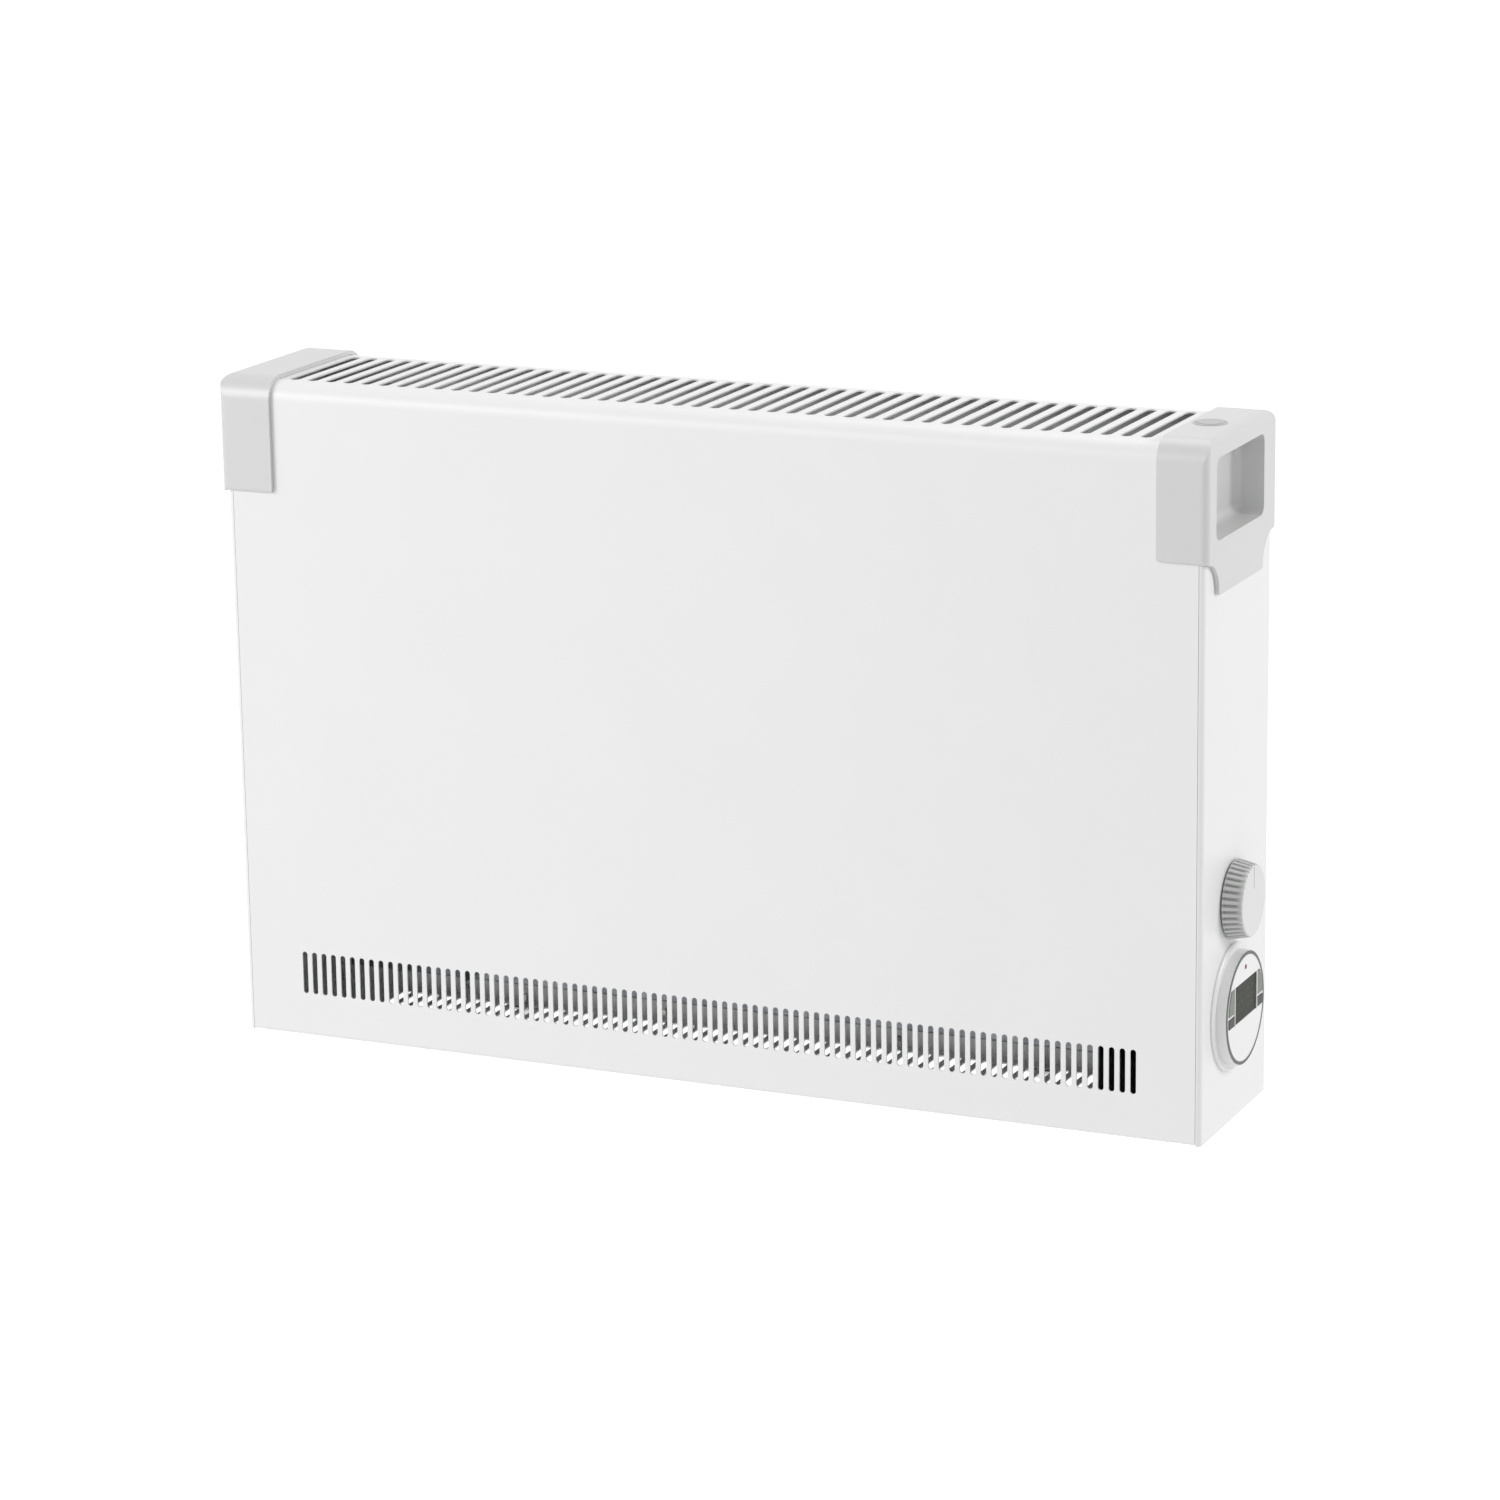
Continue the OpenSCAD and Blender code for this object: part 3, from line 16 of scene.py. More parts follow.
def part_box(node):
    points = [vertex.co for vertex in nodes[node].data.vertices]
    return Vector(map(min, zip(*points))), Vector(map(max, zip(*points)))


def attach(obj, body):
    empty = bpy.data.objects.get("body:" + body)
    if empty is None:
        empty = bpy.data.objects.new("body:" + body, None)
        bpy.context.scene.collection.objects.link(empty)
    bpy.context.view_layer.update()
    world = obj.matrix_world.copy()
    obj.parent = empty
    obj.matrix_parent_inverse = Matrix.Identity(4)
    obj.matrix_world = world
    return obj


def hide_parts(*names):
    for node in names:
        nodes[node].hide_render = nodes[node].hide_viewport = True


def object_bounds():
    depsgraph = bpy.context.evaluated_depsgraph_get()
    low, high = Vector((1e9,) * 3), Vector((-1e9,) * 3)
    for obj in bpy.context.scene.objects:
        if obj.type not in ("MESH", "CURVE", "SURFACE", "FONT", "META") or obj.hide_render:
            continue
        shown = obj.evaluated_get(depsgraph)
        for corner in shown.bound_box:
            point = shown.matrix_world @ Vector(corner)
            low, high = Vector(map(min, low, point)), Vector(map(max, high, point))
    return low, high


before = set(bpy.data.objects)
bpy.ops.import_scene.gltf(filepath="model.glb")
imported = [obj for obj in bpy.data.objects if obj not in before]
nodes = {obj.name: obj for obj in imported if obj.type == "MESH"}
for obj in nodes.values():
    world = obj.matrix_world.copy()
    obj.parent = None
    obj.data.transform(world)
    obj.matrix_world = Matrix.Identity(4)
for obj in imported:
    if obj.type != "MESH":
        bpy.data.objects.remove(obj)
cad_low, cad_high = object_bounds()
print("CAD nodes:", len(nodes), "box:", tuple(cad_low), tuple(cad_high))

MM = 0.001

# %% [markdown]
# ## The camera
# The picture was taken with a long lens from the right and a little above, so the far corner hardly shrinks.
# A lens shift could follow the picture's crop a little closer, but it would push the heater out of the
# frame in every other view, so the lens stays centred. A camera can be aimed by a tracking constraint or by
# its own axes. Here it is turned from its azimuth, its elevation and a slight roll.

# %% Place the camera
camera_data = bpy.data.cameras.new("photo_camera")
camera_data.sensor_width = 36.0
camera_data.lens = 123.21
camera = bpy.data.objects.new("photo_camera", camera_data)
bpy.context.scene.collection.objects.link(camera)
bpy.context.scene.camera = camera

azimuth, elevation, roll = math.radians(24.307), math.radians(14.347), math.radians(-0.856)
away = Vector((math.sin(azimuth) * math.cos(elevation),
               -math.cos(azimuth) * math.cos(elevation),
               math.sin(elevation)))
aim = away.to_track_quat("Z", "Y").to_matrix().to_4x4()
place = Matrix.Translation(Vector((1.3412, -3.0347, 0.7904)))
camera.matrix_world = place @ aim @ Matrix.Rotation(roll, 4, "Z")
camera_data.clip_end = 100.0
print("camera", tuple(round(c, 3) for c in camera.matrix_world.translation), "lens", camera_data.lens)

# %% [markdown]
# ## Helpers for finishes
# Every finish is a small tree of nodes. Paint charts and screens give colours as sRGB hex values, while
# Cycles works in linear light, so one function converts them. One more adds a node with its settings and its
# links, one blends two tones, and one feeds the shader. That keeps each finish short to read.


# %% Convert colours and add nodes
def linear(code):
    """Turns an sRGB hex value such as F0F0EE into linear red, green, blue and alpha."""
    channels = [int(code[i:i + 2], 16) / 255 for i in (0, 2, 4)]
    return [c / 12.92 if c <= 0.04045 else ((c + 0.055) / 1.055) ** 2.4 for c in channels] + [1.0]


def add(tree, kind, settings=None, links=None):
    """Adds a node; settings name its own properties or its inputs, links name the sockets that feed it."""
    made = tree.nodes.new(kind)
    for name, value in (settings or {}).items():
        if isinstance(name, int) or name in made.inputs:
            made.inputs[name].default_value = value
        else:
            setattr(made, name, value)
    for name, socket in (links or {}).items():
        tree.links.new(socket, made.inputs[name])
    return made


def new_finish(name):
    """Starts a material and returns it with its tree and its Object coordinates."""
    material = bpy.data.materials.new(name)
    material.use_nodes = True
    tree = material.node_tree
    return material, tree, add(tree, "ShaderNodeTexCoord").outputs["Object"]


def per_mm(size):
    """The texture scale at which one feature is about that many millimetres wide."""
    return 1 / (size * MM)


def blend(tree, deep, pale, amount):
    """A colour between two sRGB tones: deep where the amount is 0, and pale where it is 1."""
    return add(tree, "ShaderNodeMix", {"data_type": "RGBA", 6: linear(deep), 7: linear(pale)},
               {0: amount}).outputs[2]


def feed(tree, values, sockets):
    """Gives the shader its plain values, and the sockets that steer the others."""
    shader = tree.nodes["Principled BSDF"].inputs
    for name, value in values.items():
        shader[name].default_value = value
    for name, socket in sockets.items():
        tree.links.new(socket, shader[name])


print("white paint in linear light:", [round(c, 3) for c in linear("F0F0EE")])

# %% [markdown]
# ## Powder coat
# The casing is steel sprayed with polyester powder and baked. The powder melts into a satin skin with a
# faint orange peel, waves a millimetre or two across. A flat white would look like paper, so a shallow
# noise bump carries the peel and a slow, very weak noise shifts the white by a hair.


# %% Make the powder coat
def powder_coat(name, pale, deep):
    """A satin paint with a faint orange peel."""
    material, tree, where = new_finish(name)
    drift = add(tree, "ShaderNodeTexNoise", {"Scale": per_mm(70), "Detail": 2.0}, {"Vector": where})
    # The real peel is about 1.5 mm across; 2.2 mm is the least that shows in the picture.
    peel = add(tree, "ShaderNodeTexNoise", {"Scale": per_mm(2.2), "Detail": 3.0, "Roughness": 0.4},
               {"Vector": where}).outputs["Fac"]
    gloss = add(tree, "ShaderNodeMapRange", {"To Min": 0.34, "To Max": 0.42}, {"Value": peel})
    bump = add(tree, "ShaderNodeBump", {"Strength": 0.12, "Distance": 0.08 * MM}, {"Height": peel})
    feed(tree, {"IOR": 1.5}, {"Base Color": blend(tree, deep, pale, drift.outputs["Fac"]),
                              "Roughness": gloss.outputs["Result"], "Normal": bump.outputs["Normal"]})
    return material


white_powder_coat = powder_coat("white_powder_coat", "EFEFEF", "ECECEC")
print("made", white_powder_coat.name)

# %% [markdown]
# ## Moulded plastics
# The caps, knob, keys and switch parts are ABS or PBT pressed into a steel mould. Spark-eroded moulds leave
# a fine even grain, polished ones a smoother skin. One function makes them all from a colour, the size of
# the grain and how rough the skin is, because that is all in which the real ones differ.


# %% Make the moulded plastics
def moulded(name, pale, deep, grain_mm, grain_depth, rough):
    """A plastic with an even grain, whose roughness changes a little from grain to grain."""
    material, tree, where = new_finish(name)
    drift = add(tree, "ShaderNodeTexNoise", {"Scale": per_mm(25), "Detail": 2.0}, {"Vector": where})
    grain = add(tree, "ShaderNodeTexNoise", {"Scale": per_mm(grain_mm), "Detail": 4.0, "Roughness": 0.6},
                {"Vector": where}).outputs["Fac"]
    gloss = add(tree, "ShaderNodeMapRange", {"To Min": rough - 0.05, "To Max": rough + 0.05},
                {"Value": grain})
    bump = add(tree, "ShaderNodeBump", {"Strength": 0.3, "Distance": grain_depth * MM}, {"Height": grain})
    feed(tree, {"IOR": 1.53}, {"Base Color": blend(tree, deep, pale, drift.outputs["Fac"]),
                               "Roughness": gloss.outputs["Result"], "Normal": bump.outputs["Normal"]})
    return material


grey_cap_abs = moulded("grey_cap_abs", "CFD0CF", "CCCDCC", 0.9, 0.06, 0.45)
# The caps shine more at a glancing look than plain ABS does, so their IOR is matched higher.
feed(grey_cap_abs.node_tree, {"IOR": 1.75, "Coat Weight": 0.5, "Coat Roughness": 0.3}, {})
white_timer_abs = moulded("white_timer_abs", "EEEEEE", "EBEBEB", 0.8, 0.03, 0.38)
grey_button_abs = moulded("grey_button_abs", "B4B5B4", "B0B1B0", 0.7, 0.03, 0.36)
grey_collar_abs = moulded("grey_collar_abs", "C6C7C6", "C2C3C2", 0.7, 0.04, 0.45)
grey_key_rubber = moulded("grey_key_rubber", "868B83", "7F847C", 0.6, 0.05, 0.6)
dark_key_rubber = moulded("dark_key_rubber", "454844", "3E413D", 0.6, 0.05, 0.6)
# The grey of the ring in the timer's gap is painted shade.
gap_shade_grey = moulded("gap_shade_grey", "6E706E", "686A68", 0.5, 0.03, 0.65)
black_pbt = moulded("black_pbt", "26282A", "1F2123", 0.8, 0.05, 0.48)
cream_pbt = moulded("cream_pbt", "D8D1BF", "CFC7B3", 0.8, 0.05, 0.5)
white_steatite = moulded("white_steatite", "ECE7DB", "E0D9CA", 0.5, 0.05, 0.7)
brown_pvc = moulded("brown_pvc", "5A3A28", "4E3122", 0.7, 0.02, 0.4)
blue_pvc = moulded("blue_pvc", "2F6BA8", "29619B", 0.7, 0.02, 0.4)
print("materials so far:", len(bpy.data.materials))

# %% [markdown]
# ## The knob's plastic and its painted shade
# The knob is light grey ABS. Its 36 grip grooves are painted darker than the ribs between them, and the flank
# is painted a shaded grey while the face keeps the plain tone: this is painted shade. The shape alone would
# not show that shade under soft light, and a painted picture would blur close up. So the painted shade is
# worked out from the place. The first
# measure is the angle round the shaft: times the number of grooves it gives a wave that is lowest in each
# groove.

# %% Tell groove from rib
knob_low, knob_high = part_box("thermostat_knob")
knob_middle = (knob_low + knob_high) / 2
GROOVES = 36.0
# The knob's plastic, with painted shade in its grooves and on its flank.
knob_abs_painted_shade = moulded("knob_abs_painted_shade", "E0E1E0", "DCDDDC", 0.8, 0.04, 0.42)
tree = knob_abs_painted_shade.node_tree
where = add(tree, "ShaderNodeTexCoord").outputs["Object"]
from_shaft = add(tree, "ShaderNodeMapping",
                 {"Location": (0, -knob_middle.y, -knob_middle.z), "Scale": (0, 1, 1)},
                 {"Vector": where}).outputs["Vector"]
axes = add(tree, "ShaderNodeSeparateXYZ", {}, {"Vector": from_shaft}).outputs
turn = add(tree, "ShaderNodeMath", {"operation": "ARCTAN2"}, {0: axes["Z"], 1: axes["Y"]})
turns = add(tree, "ShaderNodeMath", {"operation": "MULTIPLY", 1: GROOVES}, {0: turn.outputs["Value"]})
wave = add(tree, "ShaderNodeMath", {"operation": "COSINE"}, {0: turns.outputs["Value"]})
rib = add(tree, "ShaderNodeMapRange", {"From Min": -0.9, "From Max": 0.3}, {"Value": wave.outputs["Value"]})
# Painted shade: the grooves darkest, the ribs of the flank a shaded grey.
painted_flank_shade = blend(tree, "8E908E", "C9CAC9", rib.outputs["Result"])
print("one groove every", 360 / GROOVES, "degrees")

# %% [markdown]
# ## Painted shade on the knob's flank
# The second measure is the distance from the shaft. Within the face's edge the plain plastic stays, and
# outside it the painted shade of the flank and its grooves takes over, across less than a millimetre.

# %% Tell flank from face
FACE_EDGE = 22.3 * MM
EDGE_BLEND = 0.8 * MM
reach = add(tree, "ShaderNodeVectorMath", {"operation": "LENGTH"}, {0: from_shaft})
flank = add(tree, "ShaderNodeMapRange", {"From Min": FACE_EDGE, "From Max": FACE_EDGE + EDGE_BLEND},
            {"Value": reach.outputs["Value"]})
plain_tone = tree.nodes["Principled BSDF"].inputs["Base Color"].links[0].from_socket
# Painted shade: outside the face's edge the shaded flank tone replaces the plain one.
knob_tone_with_painted_shade = add(tree, "ShaderNodeMix", {"data_type": "RGBA"},
                {0: flank.outputs["Result"], 6: plain_tone, 7: painted_flank_shade})
feed(tree, {}, {"Base Color": knob_tone_with_painted_shade.outputs[2]})
print("made", knob_abs_painted_shade.name, "round", tuple(round(c, 4) for c in knob_middle))

# %% [markdown]
# ## Zinc, steel, aluminium, copper and brass
# Bare metals differ in their colour, in how the light spreads and in what the surface has been through.
# Hot-dip zinc shows flat crystals, rolled aluminium has fine lines along the strip, and element sheaths
# are tinted by heat. A Voronoi cell pattern gives the zinc its crystals, and stretched noise gives the
# rolling lines.


# %% Make the metals
def zinc_spangle(name, pale, deep, crystal_mm):
    """Hot-dip zinc, with one tone and one gloss for each crystal."""
    material, tree, where = new_finish(name)
    crystal = add(tree, "ShaderNodeTexVoronoi", {"Scale": per_mm(crystal_mm), "Randomness": 1.0},
                  {"Vector": where})
    shade = add(tree, "ShaderNodeSeparateColor", {}, {"Color": crystal.outputs["Color"]}).outputs
    gloss = add(tree, "ShaderNodeMapRange", {"To Min": 0.36, "To Max": 0.5}, {"Value": shade["Green"]})
    feed(tree, {"Metallic": 1.0}, {"Base Color": blend(tree, deep, pale, shade["Red"]),
                                   "Roughness": gloss.outputs["Result"]})
    return material


def worked_metal(name, pale, deep, rough, stretch, line_mm):
    """A metal with fine marks: stretch gives how the marks are squeezed along X, Y and Z."""
    material, tree, where = new_finish(name)
    along = add(tree, "ShaderNodeMapping", {"Scale": stretch}, {"Vector": where})
    marks = add(tree, "ShaderNodeTexNoise", {"Scale": per_mm(line_mm), "Detail": 3.0},
                {"Vector": along.outputs["Vector"]}).outputs["Fac"]
    gloss = add(tree, "ShaderNodeMapRange", {"To Min": rough - 0.06, "To Max": rough + 0.06},
                {"Value": marks})
    bump = add(tree, "ShaderNodeBump", {"Strength": 0.15, "Distance": 0.05 * MM}, {"Height": marks})
    feed(tree, {"Metallic": 1.0}, {"Base Color": blend(tree, deep, pale, marks),
                                   "Roughness": gloss.outputs["Result"], "Normal": bump.outputs["Normal"]})
    return material


galvanised_steel = zinc_spangle("galvanised_steel", "AAAEB1", "92979B", 9)
# The inner sheets get a darker copy of the zinc, as painted shade for the dim inside of the heater.
shade_darkened_zinc = zinc_spangle("shade_darkened_zinc", "7E8285", "6A6E72", 9)
zinc_plate = worked_metal("zinc_plate", "CBCBC6", "BDBDB8", 0.3, (1, 1, 1), 1.2)
heat_tinted_steel = worked_metal("heat_tinted_steel", "8B8379", "6F675E", 0.42, (0.1, 1, 1), 1.5)
rolled_aluminium = worked_metal("rolled_aluminium", "D3D5D6", "C3C6C8", 0.34, (1, 0.1, 1), 0.8)
bare_copper = worked_metal("bare_copper", "C98260", "B56F4F", 0.35, (1, 1, 1), 2.0)
bare_brass = worked_metal("bare_brass", "D6B96F", "C6A75B", 0.32, (1, 1, 1), 1.0)
print("materials so far:", len(bpy.data.materials))

# %% [markdown]
# ## Display, lamp and board
# An unlit display is a grey olive sheet of liquid crystal behind clear acrylic, so it is dark. In the
# picture it mirrors hardly anything, so its specular level is low. The lamp is a red acrylic lens over a
# diode that is off. The board is green solder mask over copper tracks.


# %% Make the display, lamp and board finishes
def clear_fronted(name, pale, deep, blotch_mm, rough):
    """A coloured layer behind a clear front, which mirrors little."""
    material, tree, where = new_finish(name)
    blotch = add(tree, "ShaderNodeTexNoise", {"Scale": per_mm(blotch_mm), "Detail": 2.0}, {"Vector": where})
    feed(tree, {"Roughness": rough, "IOR": 1.49, "Specular IOR Level": 0.06},
         {"Base Color": blend(tree, deep, pale, blotch.outputs["Fac"])})
    return material


olive_display = clear_fronted("olive_display", "2C3026", "272B21", 12, 0.35)
olive_segments = clear_fronted("olive_segments", "464B3E", "404538", 12, 0.35)
red_acrylic = clear_fronted("red_acrylic", "7A1F1A", "681814", 1.5, 0.2)
green_solder_mask = clear_fronted("green_solder_mask", "1D5A33", "174A2A", 3, 0.35)
print("materials so far:", len(bpy.data.materials))

# %% [markdown]
# ## Earth lead
# The protective earth is always striped green and yellow, in the tones of cable makers. A noise would give
# blotches, so a wave is cut at half its height, which leaves two sharp bands.

# %% Make the striped insulation
striped_pvc, tree, where = new_finish("striped_pvc")
stripes = add(tree, "ShaderNodeTexWave", {"Scale": per_mm(18), "Distortion": 0.0}, {"Vector": where})
halves = add(tree, "ShaderNodeMath", {"operation": "GREATER_THAN", 1: 0.5}, {0: stripes.outputs["Fac"]})
feed(tree, {"Roughness": 0.4}, {"Base Color": blend(tree, "3E8E41", "E3C62F", halves.outputs["Value"])})
print("made", striped_pvc.name)

# %% [markdown]
# ## Dress the CAD nodes
# Each CAD node keeps its exact shape and gets the finish of its real piece. Three of them are replaced
# further on. The table is read from the outside of the heater inwards, so a wrong choice is easy to see.

# %% Give every node its finish
finish_of = {
    white_powder_coat: ["front_casing", "left_end_panel", "right_end_panel", "air_guide"],
    grey_cap_abs: ["left_handle_cap", "right_handle_cap"],
    grey_button_abs: ["power_button"],
    grey_collar_abs: ["power_collar"],
    knob_abs_painted_shade: ["thermostat_knob"],
    white_timer_abs: ["timer_bezel", "timer_face"],
    olive_display: ["lcd_window"],
    red_acrylic: ["timer_lamp"],
    grey_key_rubber: ["front_upper_key", "back_upper_key"],
    dark_key_rubber: ["front_lower_key", "back_lower_key"],
    galvanised_steel: ["back_panel", "wall_bracket", "sensor_clips"],
    # The inner sheets take the zinc that is painted darker as shade.
    shade_darkened_zinc: ["heat_shield", "left_support", "control_partition", "cutout_bracket"],
    zinc_plate: ["casing_screws", "cap_screws", "locking_screws", "thermostat_nut", "thermostat_shaft"],
    heat_tinted_steel: ["lower_element", "upper_element", "element_terminals"],
    rolled_aluminium: ["lower_fins", "upper_fins"],
    white_steatite: ["element_bushes"],
    black_pbt: ["thermal_cutout", "timer_housing", "lcd_module", "power_switch", "cord_gland"],
    cream_pbt: ["thermostat_body", "terminal_block"],
    green_solder_mask: ["timer_circuit_board"],
    bare_copper: ["sensor_capillary"],
    bare_brass: ["terminal_screws", "earth_stud"],
    brown_pvc: ["switch_lead", "element_lead"],
    blue_pvc: ["timer_lead"],
    striped_pvc: ["earth_lead"],
}
dressed = set()
for finish, names in finish_of.items():
    for name in names:
        nodes[name].data.materials.clear()
        nodes[name].data.materials.append(finish)
        dressed.add(name)
print("dressed", len(dressed), "nodes; left out:", sorted(set(nodes) - dressed))

# %% [markdown]
# ## Bars with shaped ends
# Slots, and the strokes of the display's figures, are all bars with round or pointed ends. Each starts as a
# short rod from create_cone, whose two halves are then moved apart. A rod of 18 sides gives round ends and
# one of 6 sides gives pointed ones; with 4n + 2 sides no corner lies on the line where the halves part.

# %% Make bars
ROUND_END = 18
POINTED_END = 6
QUARTER_TURN = math.pi / 2


def bar(shape, place, width, length, thickness, sides):
    """Adds a bar, long along Y and thick along Z, and sets it down with the matrix place."""
    made = bmesh.ops.create_cone(shape, cap_ends=True, segments=sides, radius1=width / 2, radius2=width / 2,
                                 depth=thickness)
    for side in (-1, 1):
        end = [v for v in made["verts"] if v.co.y * side > 0]
        bmesh.ops.translate(shape, verts=end, vec=(0, side * (length - width) / 2, 0))
    bmesh.ops.transform(shape, matrix=place, verts=made["verts"])


trial = bmesh.new()
bar(trial, Matrix.Identity(4), 2 * MM, 10 * MM, 1 * MM, POINTED_END)
trial_reach = max(v.co.y for v in trial.verts) - min(v.co.y for v in trial.verts)
print("a bar made 10 mm long has", len(trial.verts), "corners and is", round(trial_reach / MM, 3), "mm long")
trial.free()

# %% [markdown]
# ## New pieces
# A new piece needs a mesh, an object at the origin, a finish and a body to ride on.
# bmesh makes the mesh outside the scene, so nothing half made is ever in it.


# %% Make new pieces
def to_object(name, shape):
    """Turns a bmesh into an object that sits at the origin."""
    mesh = bpy.data.meshes.new(name)
    shape.to_mesh(mesh)
    shape.free()
    made = bpy.data.objects.new(name, mesh)
    bpy.context.scene.collection.objects.link(made)
    return made


def new_piece(name, shape, finish, body):
    """Makes the object of a bmesh, gives it its finish and lets it ride on a body."""
    piece = to_object(name, shape)
    piece.data.materials.append(finish)
    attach(piece, body)
    return piece


# %% [markdown]
# ## Cutting something away
# Where the CAD lacks a slot or a notch, a copy of the node is cut and stands for it, so the node keeps its
# own mesh. A Boolean takes a tool's shape away. It needs a closed skin, and the faces of the CAD share no
# corners with each other, so the corners are welded first. The EXACT solver copes with so many small slots.

# %% Cut copies
WELD = 0.001 * MM


def cut_copy(name, node, tool_shape, finish, body):
    """Makes a piece of a CAD node's welded copy, with the tool's shape cut away."""
    welded = bmesh.new()
    welded.from_mesh(nodes[node].data)
    loose = len(welded.verts)
    bmesh.ops.remove_doubles(welded, verts=welded.verts, dist=WELD)
    print(node, "has", loose, "corners and", len(welded.verts), "when welded")
    piece = new_piece(name, welded, finish, body)
    tool = to_object("tool", tool_shape)
    cut = piece.modifiers.new("cut", "BOOLEAN")
    cut.operation = "DIFFERENCE"
    cut.solver = "EXACT"
    cut.object = tool
    evaluated = piece.evaluated_get(bpy.context.evaluated_depsgraph_get())
    mesh = bpy.data.meshes.new_from_object(evaluated)
    piece.modifiers.remove(cut)
    piece.data = mesh
    bpy.data.objects.remove(tool)
    return piece


def open_edges(piece):
    """Counts the edges at which a piece's skin isn't closed."""
    skin = bmesh.new()
    skin.from_mesh(piece.data)
    count = sum(not e.is_manifold for e in skin.edges)
    skin.free()
    return count


print("corners within", WELD / MM, "mm are welded")

# %% [markdown]
# ## The pressed slots of the casing
# The casing is one steel sheet, and a press punches its air slots before it is bent. In the picture the
# slots are a little wider than the CAD has them, and the white floor shows through them by way of a third
# row in the underside. A bump could draw slots, but no light would pass. So the punch is made of bars, one
# for each slot.

# %% Make the punch
casing_low, casing_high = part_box("front_casing")
OUTLET_BACK = 58.5 * MM
INLET_RISE = 44.3 * MM
UNDER_ASIDE = -24.3 * MM
UNDER_BACK = 68.5 * MM
PUNCH_DEPTH = 5 * MM
UPENDED = Matrix.Rotation(QUARTER_TURN, 4, "X")
slot_rows = [
    {"count": 46, "pitch": 13.15 * MM, "width": 7.2 * MM, "length": 89.4 * MM,
     "place": Matrix.Translation((0, casing_low.y + OUTLET_BACK, casing_high.z))},
    {"count": 83, "pitch": 7.2 * MM, "width": 3.9 * MM, "length": 29.2 * MM,
     "place": Matrix.Translation((0, casing_low.y, casing_low.z + INLET_RISE)) @ UPENDED},
    {"count": 48, "pitch": 10.785 * MM, "width": 6.3 * MM, "length": 89.0 * MM,
     "place": Matrix.Translation((UNDER_ASIDE, casing_low.y + UNDER_BACK, casing_low.z))},
]
punch = bmesh.new()
for row in slot_rows:
    for i in range(row["count"]):
        aside = Matrix.Translation(((i - (row["count"] - 1) / 2) * row["pitch"], 0, 0))
        bar(punch, aside @ row["place"], row["width"], row["length"], PUNCH_DEPTH, ROUND_END)
print("the punch has", sum(row["count"] for row in slot_rows), "bars and", len(punch.verts), "corners")

# %% [markdown]
# ## The punched casing
# A press goes through the sheet in one stroke, and so does the Boolean. The bars reach past the sheet on both
# sides, so each slot is cut right through, and the casing's skin has to stay closed.

# %% Punch the casing
punched_casing = cut_copy("punched_casing", "front_casing", punch, white_powder_coat, "heater")
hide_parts("front_casing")
print("punched casing:", len(punched_casing.data.polygons), "faces, open edges:", open_edges(punched_casing))

# %% [markdown]
# ## The strip behind the inlet slots
# A low folded strip stands on the underside behind the inlet slots and stiffens it. Two boxes would give the
# angle but not its fold. So a line with a corner is drawn out along the heater, the corner is rounded, and
# the sheet is thickened. The strip stays below the camera's line of sight to the slots in the underside.

# %% Fold the strip
guide_low, guide_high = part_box("air_guide")
FOLD_Y = guide_low.y + 24.8 * MM
STRIP_H = 16 * MM
FOLD_R = 1.6 * MM
STRIP_SHEET = 0.8 * MM
fold = bmesh.new()
corners = [fold.verts.new((guide_low.x, y, z)) for y, z in (
    (FOLD_Y, guide_low.z + STRIP_H), (FOLD_Y, guide_low.z), (guide_high.y, guide_low.z))]
line = [fold.edges.new(pair) for pair in zip(corners, corners[1:])]
corner = corners[1].co.copy()
drawn = bmesh.ops.extrude_edge_only(fold, edges=line)
far_side = [v for v in drawn["geom"] if isinstance(v, bmesh.types.BMVert)]
bmesh.ops.translate(fold, verts=far_side, vec=(guide_high.x - guide_low.x, 0, 0))
bend = [e for e in fold.edges if all((v.co.yz - corner.yz).length < WELD for v in e.verts)]
bmesh.ops.bevel(fold, geom=bend, offset=FOLD_R, segments=4, profile=0.5, affect="EDGES", material=-1)
bmesh.ops.recalc_face_normals(fold, faces=fold.faces)
if sum(f.normal.z for f in fold.faces) < 0:
    bmesh.ops.reverse_faces(fold, faces=fold.faces)
bmesh.ops.solidify(fold, geom=fold.faces, thickness=STRIP_SHEET)
lift_to_sheet = guide_low.z - min(v.co.z for v in fold.verts)
bmesh.ops.translate(fold, verts=fold.verts, vec=(0, 0, lift_to_sheet))
stiffening_strip = new_piece("stiffening_strip", fold, white_powder_coat, "heater")
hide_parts("air_guide")
heights = [v.co.z - guide_low.z for v in stiffening_strip.data.vertices]
print("the strip stands from", round(min(heights) / MM, 2), "to", round(max(heights) / MM, 2), "mm")

# %% [markdown]
# ## The element support's foot
# The elements hang in a zinc sheet at each end. Air has to pass under the left one, so its foot is cut away
# towards the front and stands on its rear leg. The picture shows the floor there through the slots.
# The tool is a block that reaches past the sheet in front, below and on both sides.

# %% Cut the support's foot
support_low, support_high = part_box("left_support")
FOOT_H = 46 * MM
REAR_LEG = 14 * MM
PAST = 5 * MM
block_low = support_low - Vector((PAST, PAST, PAST))
block_high = Vector((support_high.x + PAST, support_high.y - REAR_LEG, support_low.z + FOOT_H))
block = bmesh.new()
bmesh.ops.create_cube(block, size=1.0)
bmesh.ops.scale(block, vec=block_high - block_low, verts=block.verts)
bmesh.ops.translate(block, vec=(block_low + block_high) / 2, verts=block.verts)
cut_support = cut_copy("left_support_sheet", "left_support", block, shade_darkened_zinc, "heater")
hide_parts("left_support")
print("left support:", len(cut_support.data.polygons), "faces, open edges:", open_edges(cut_support))
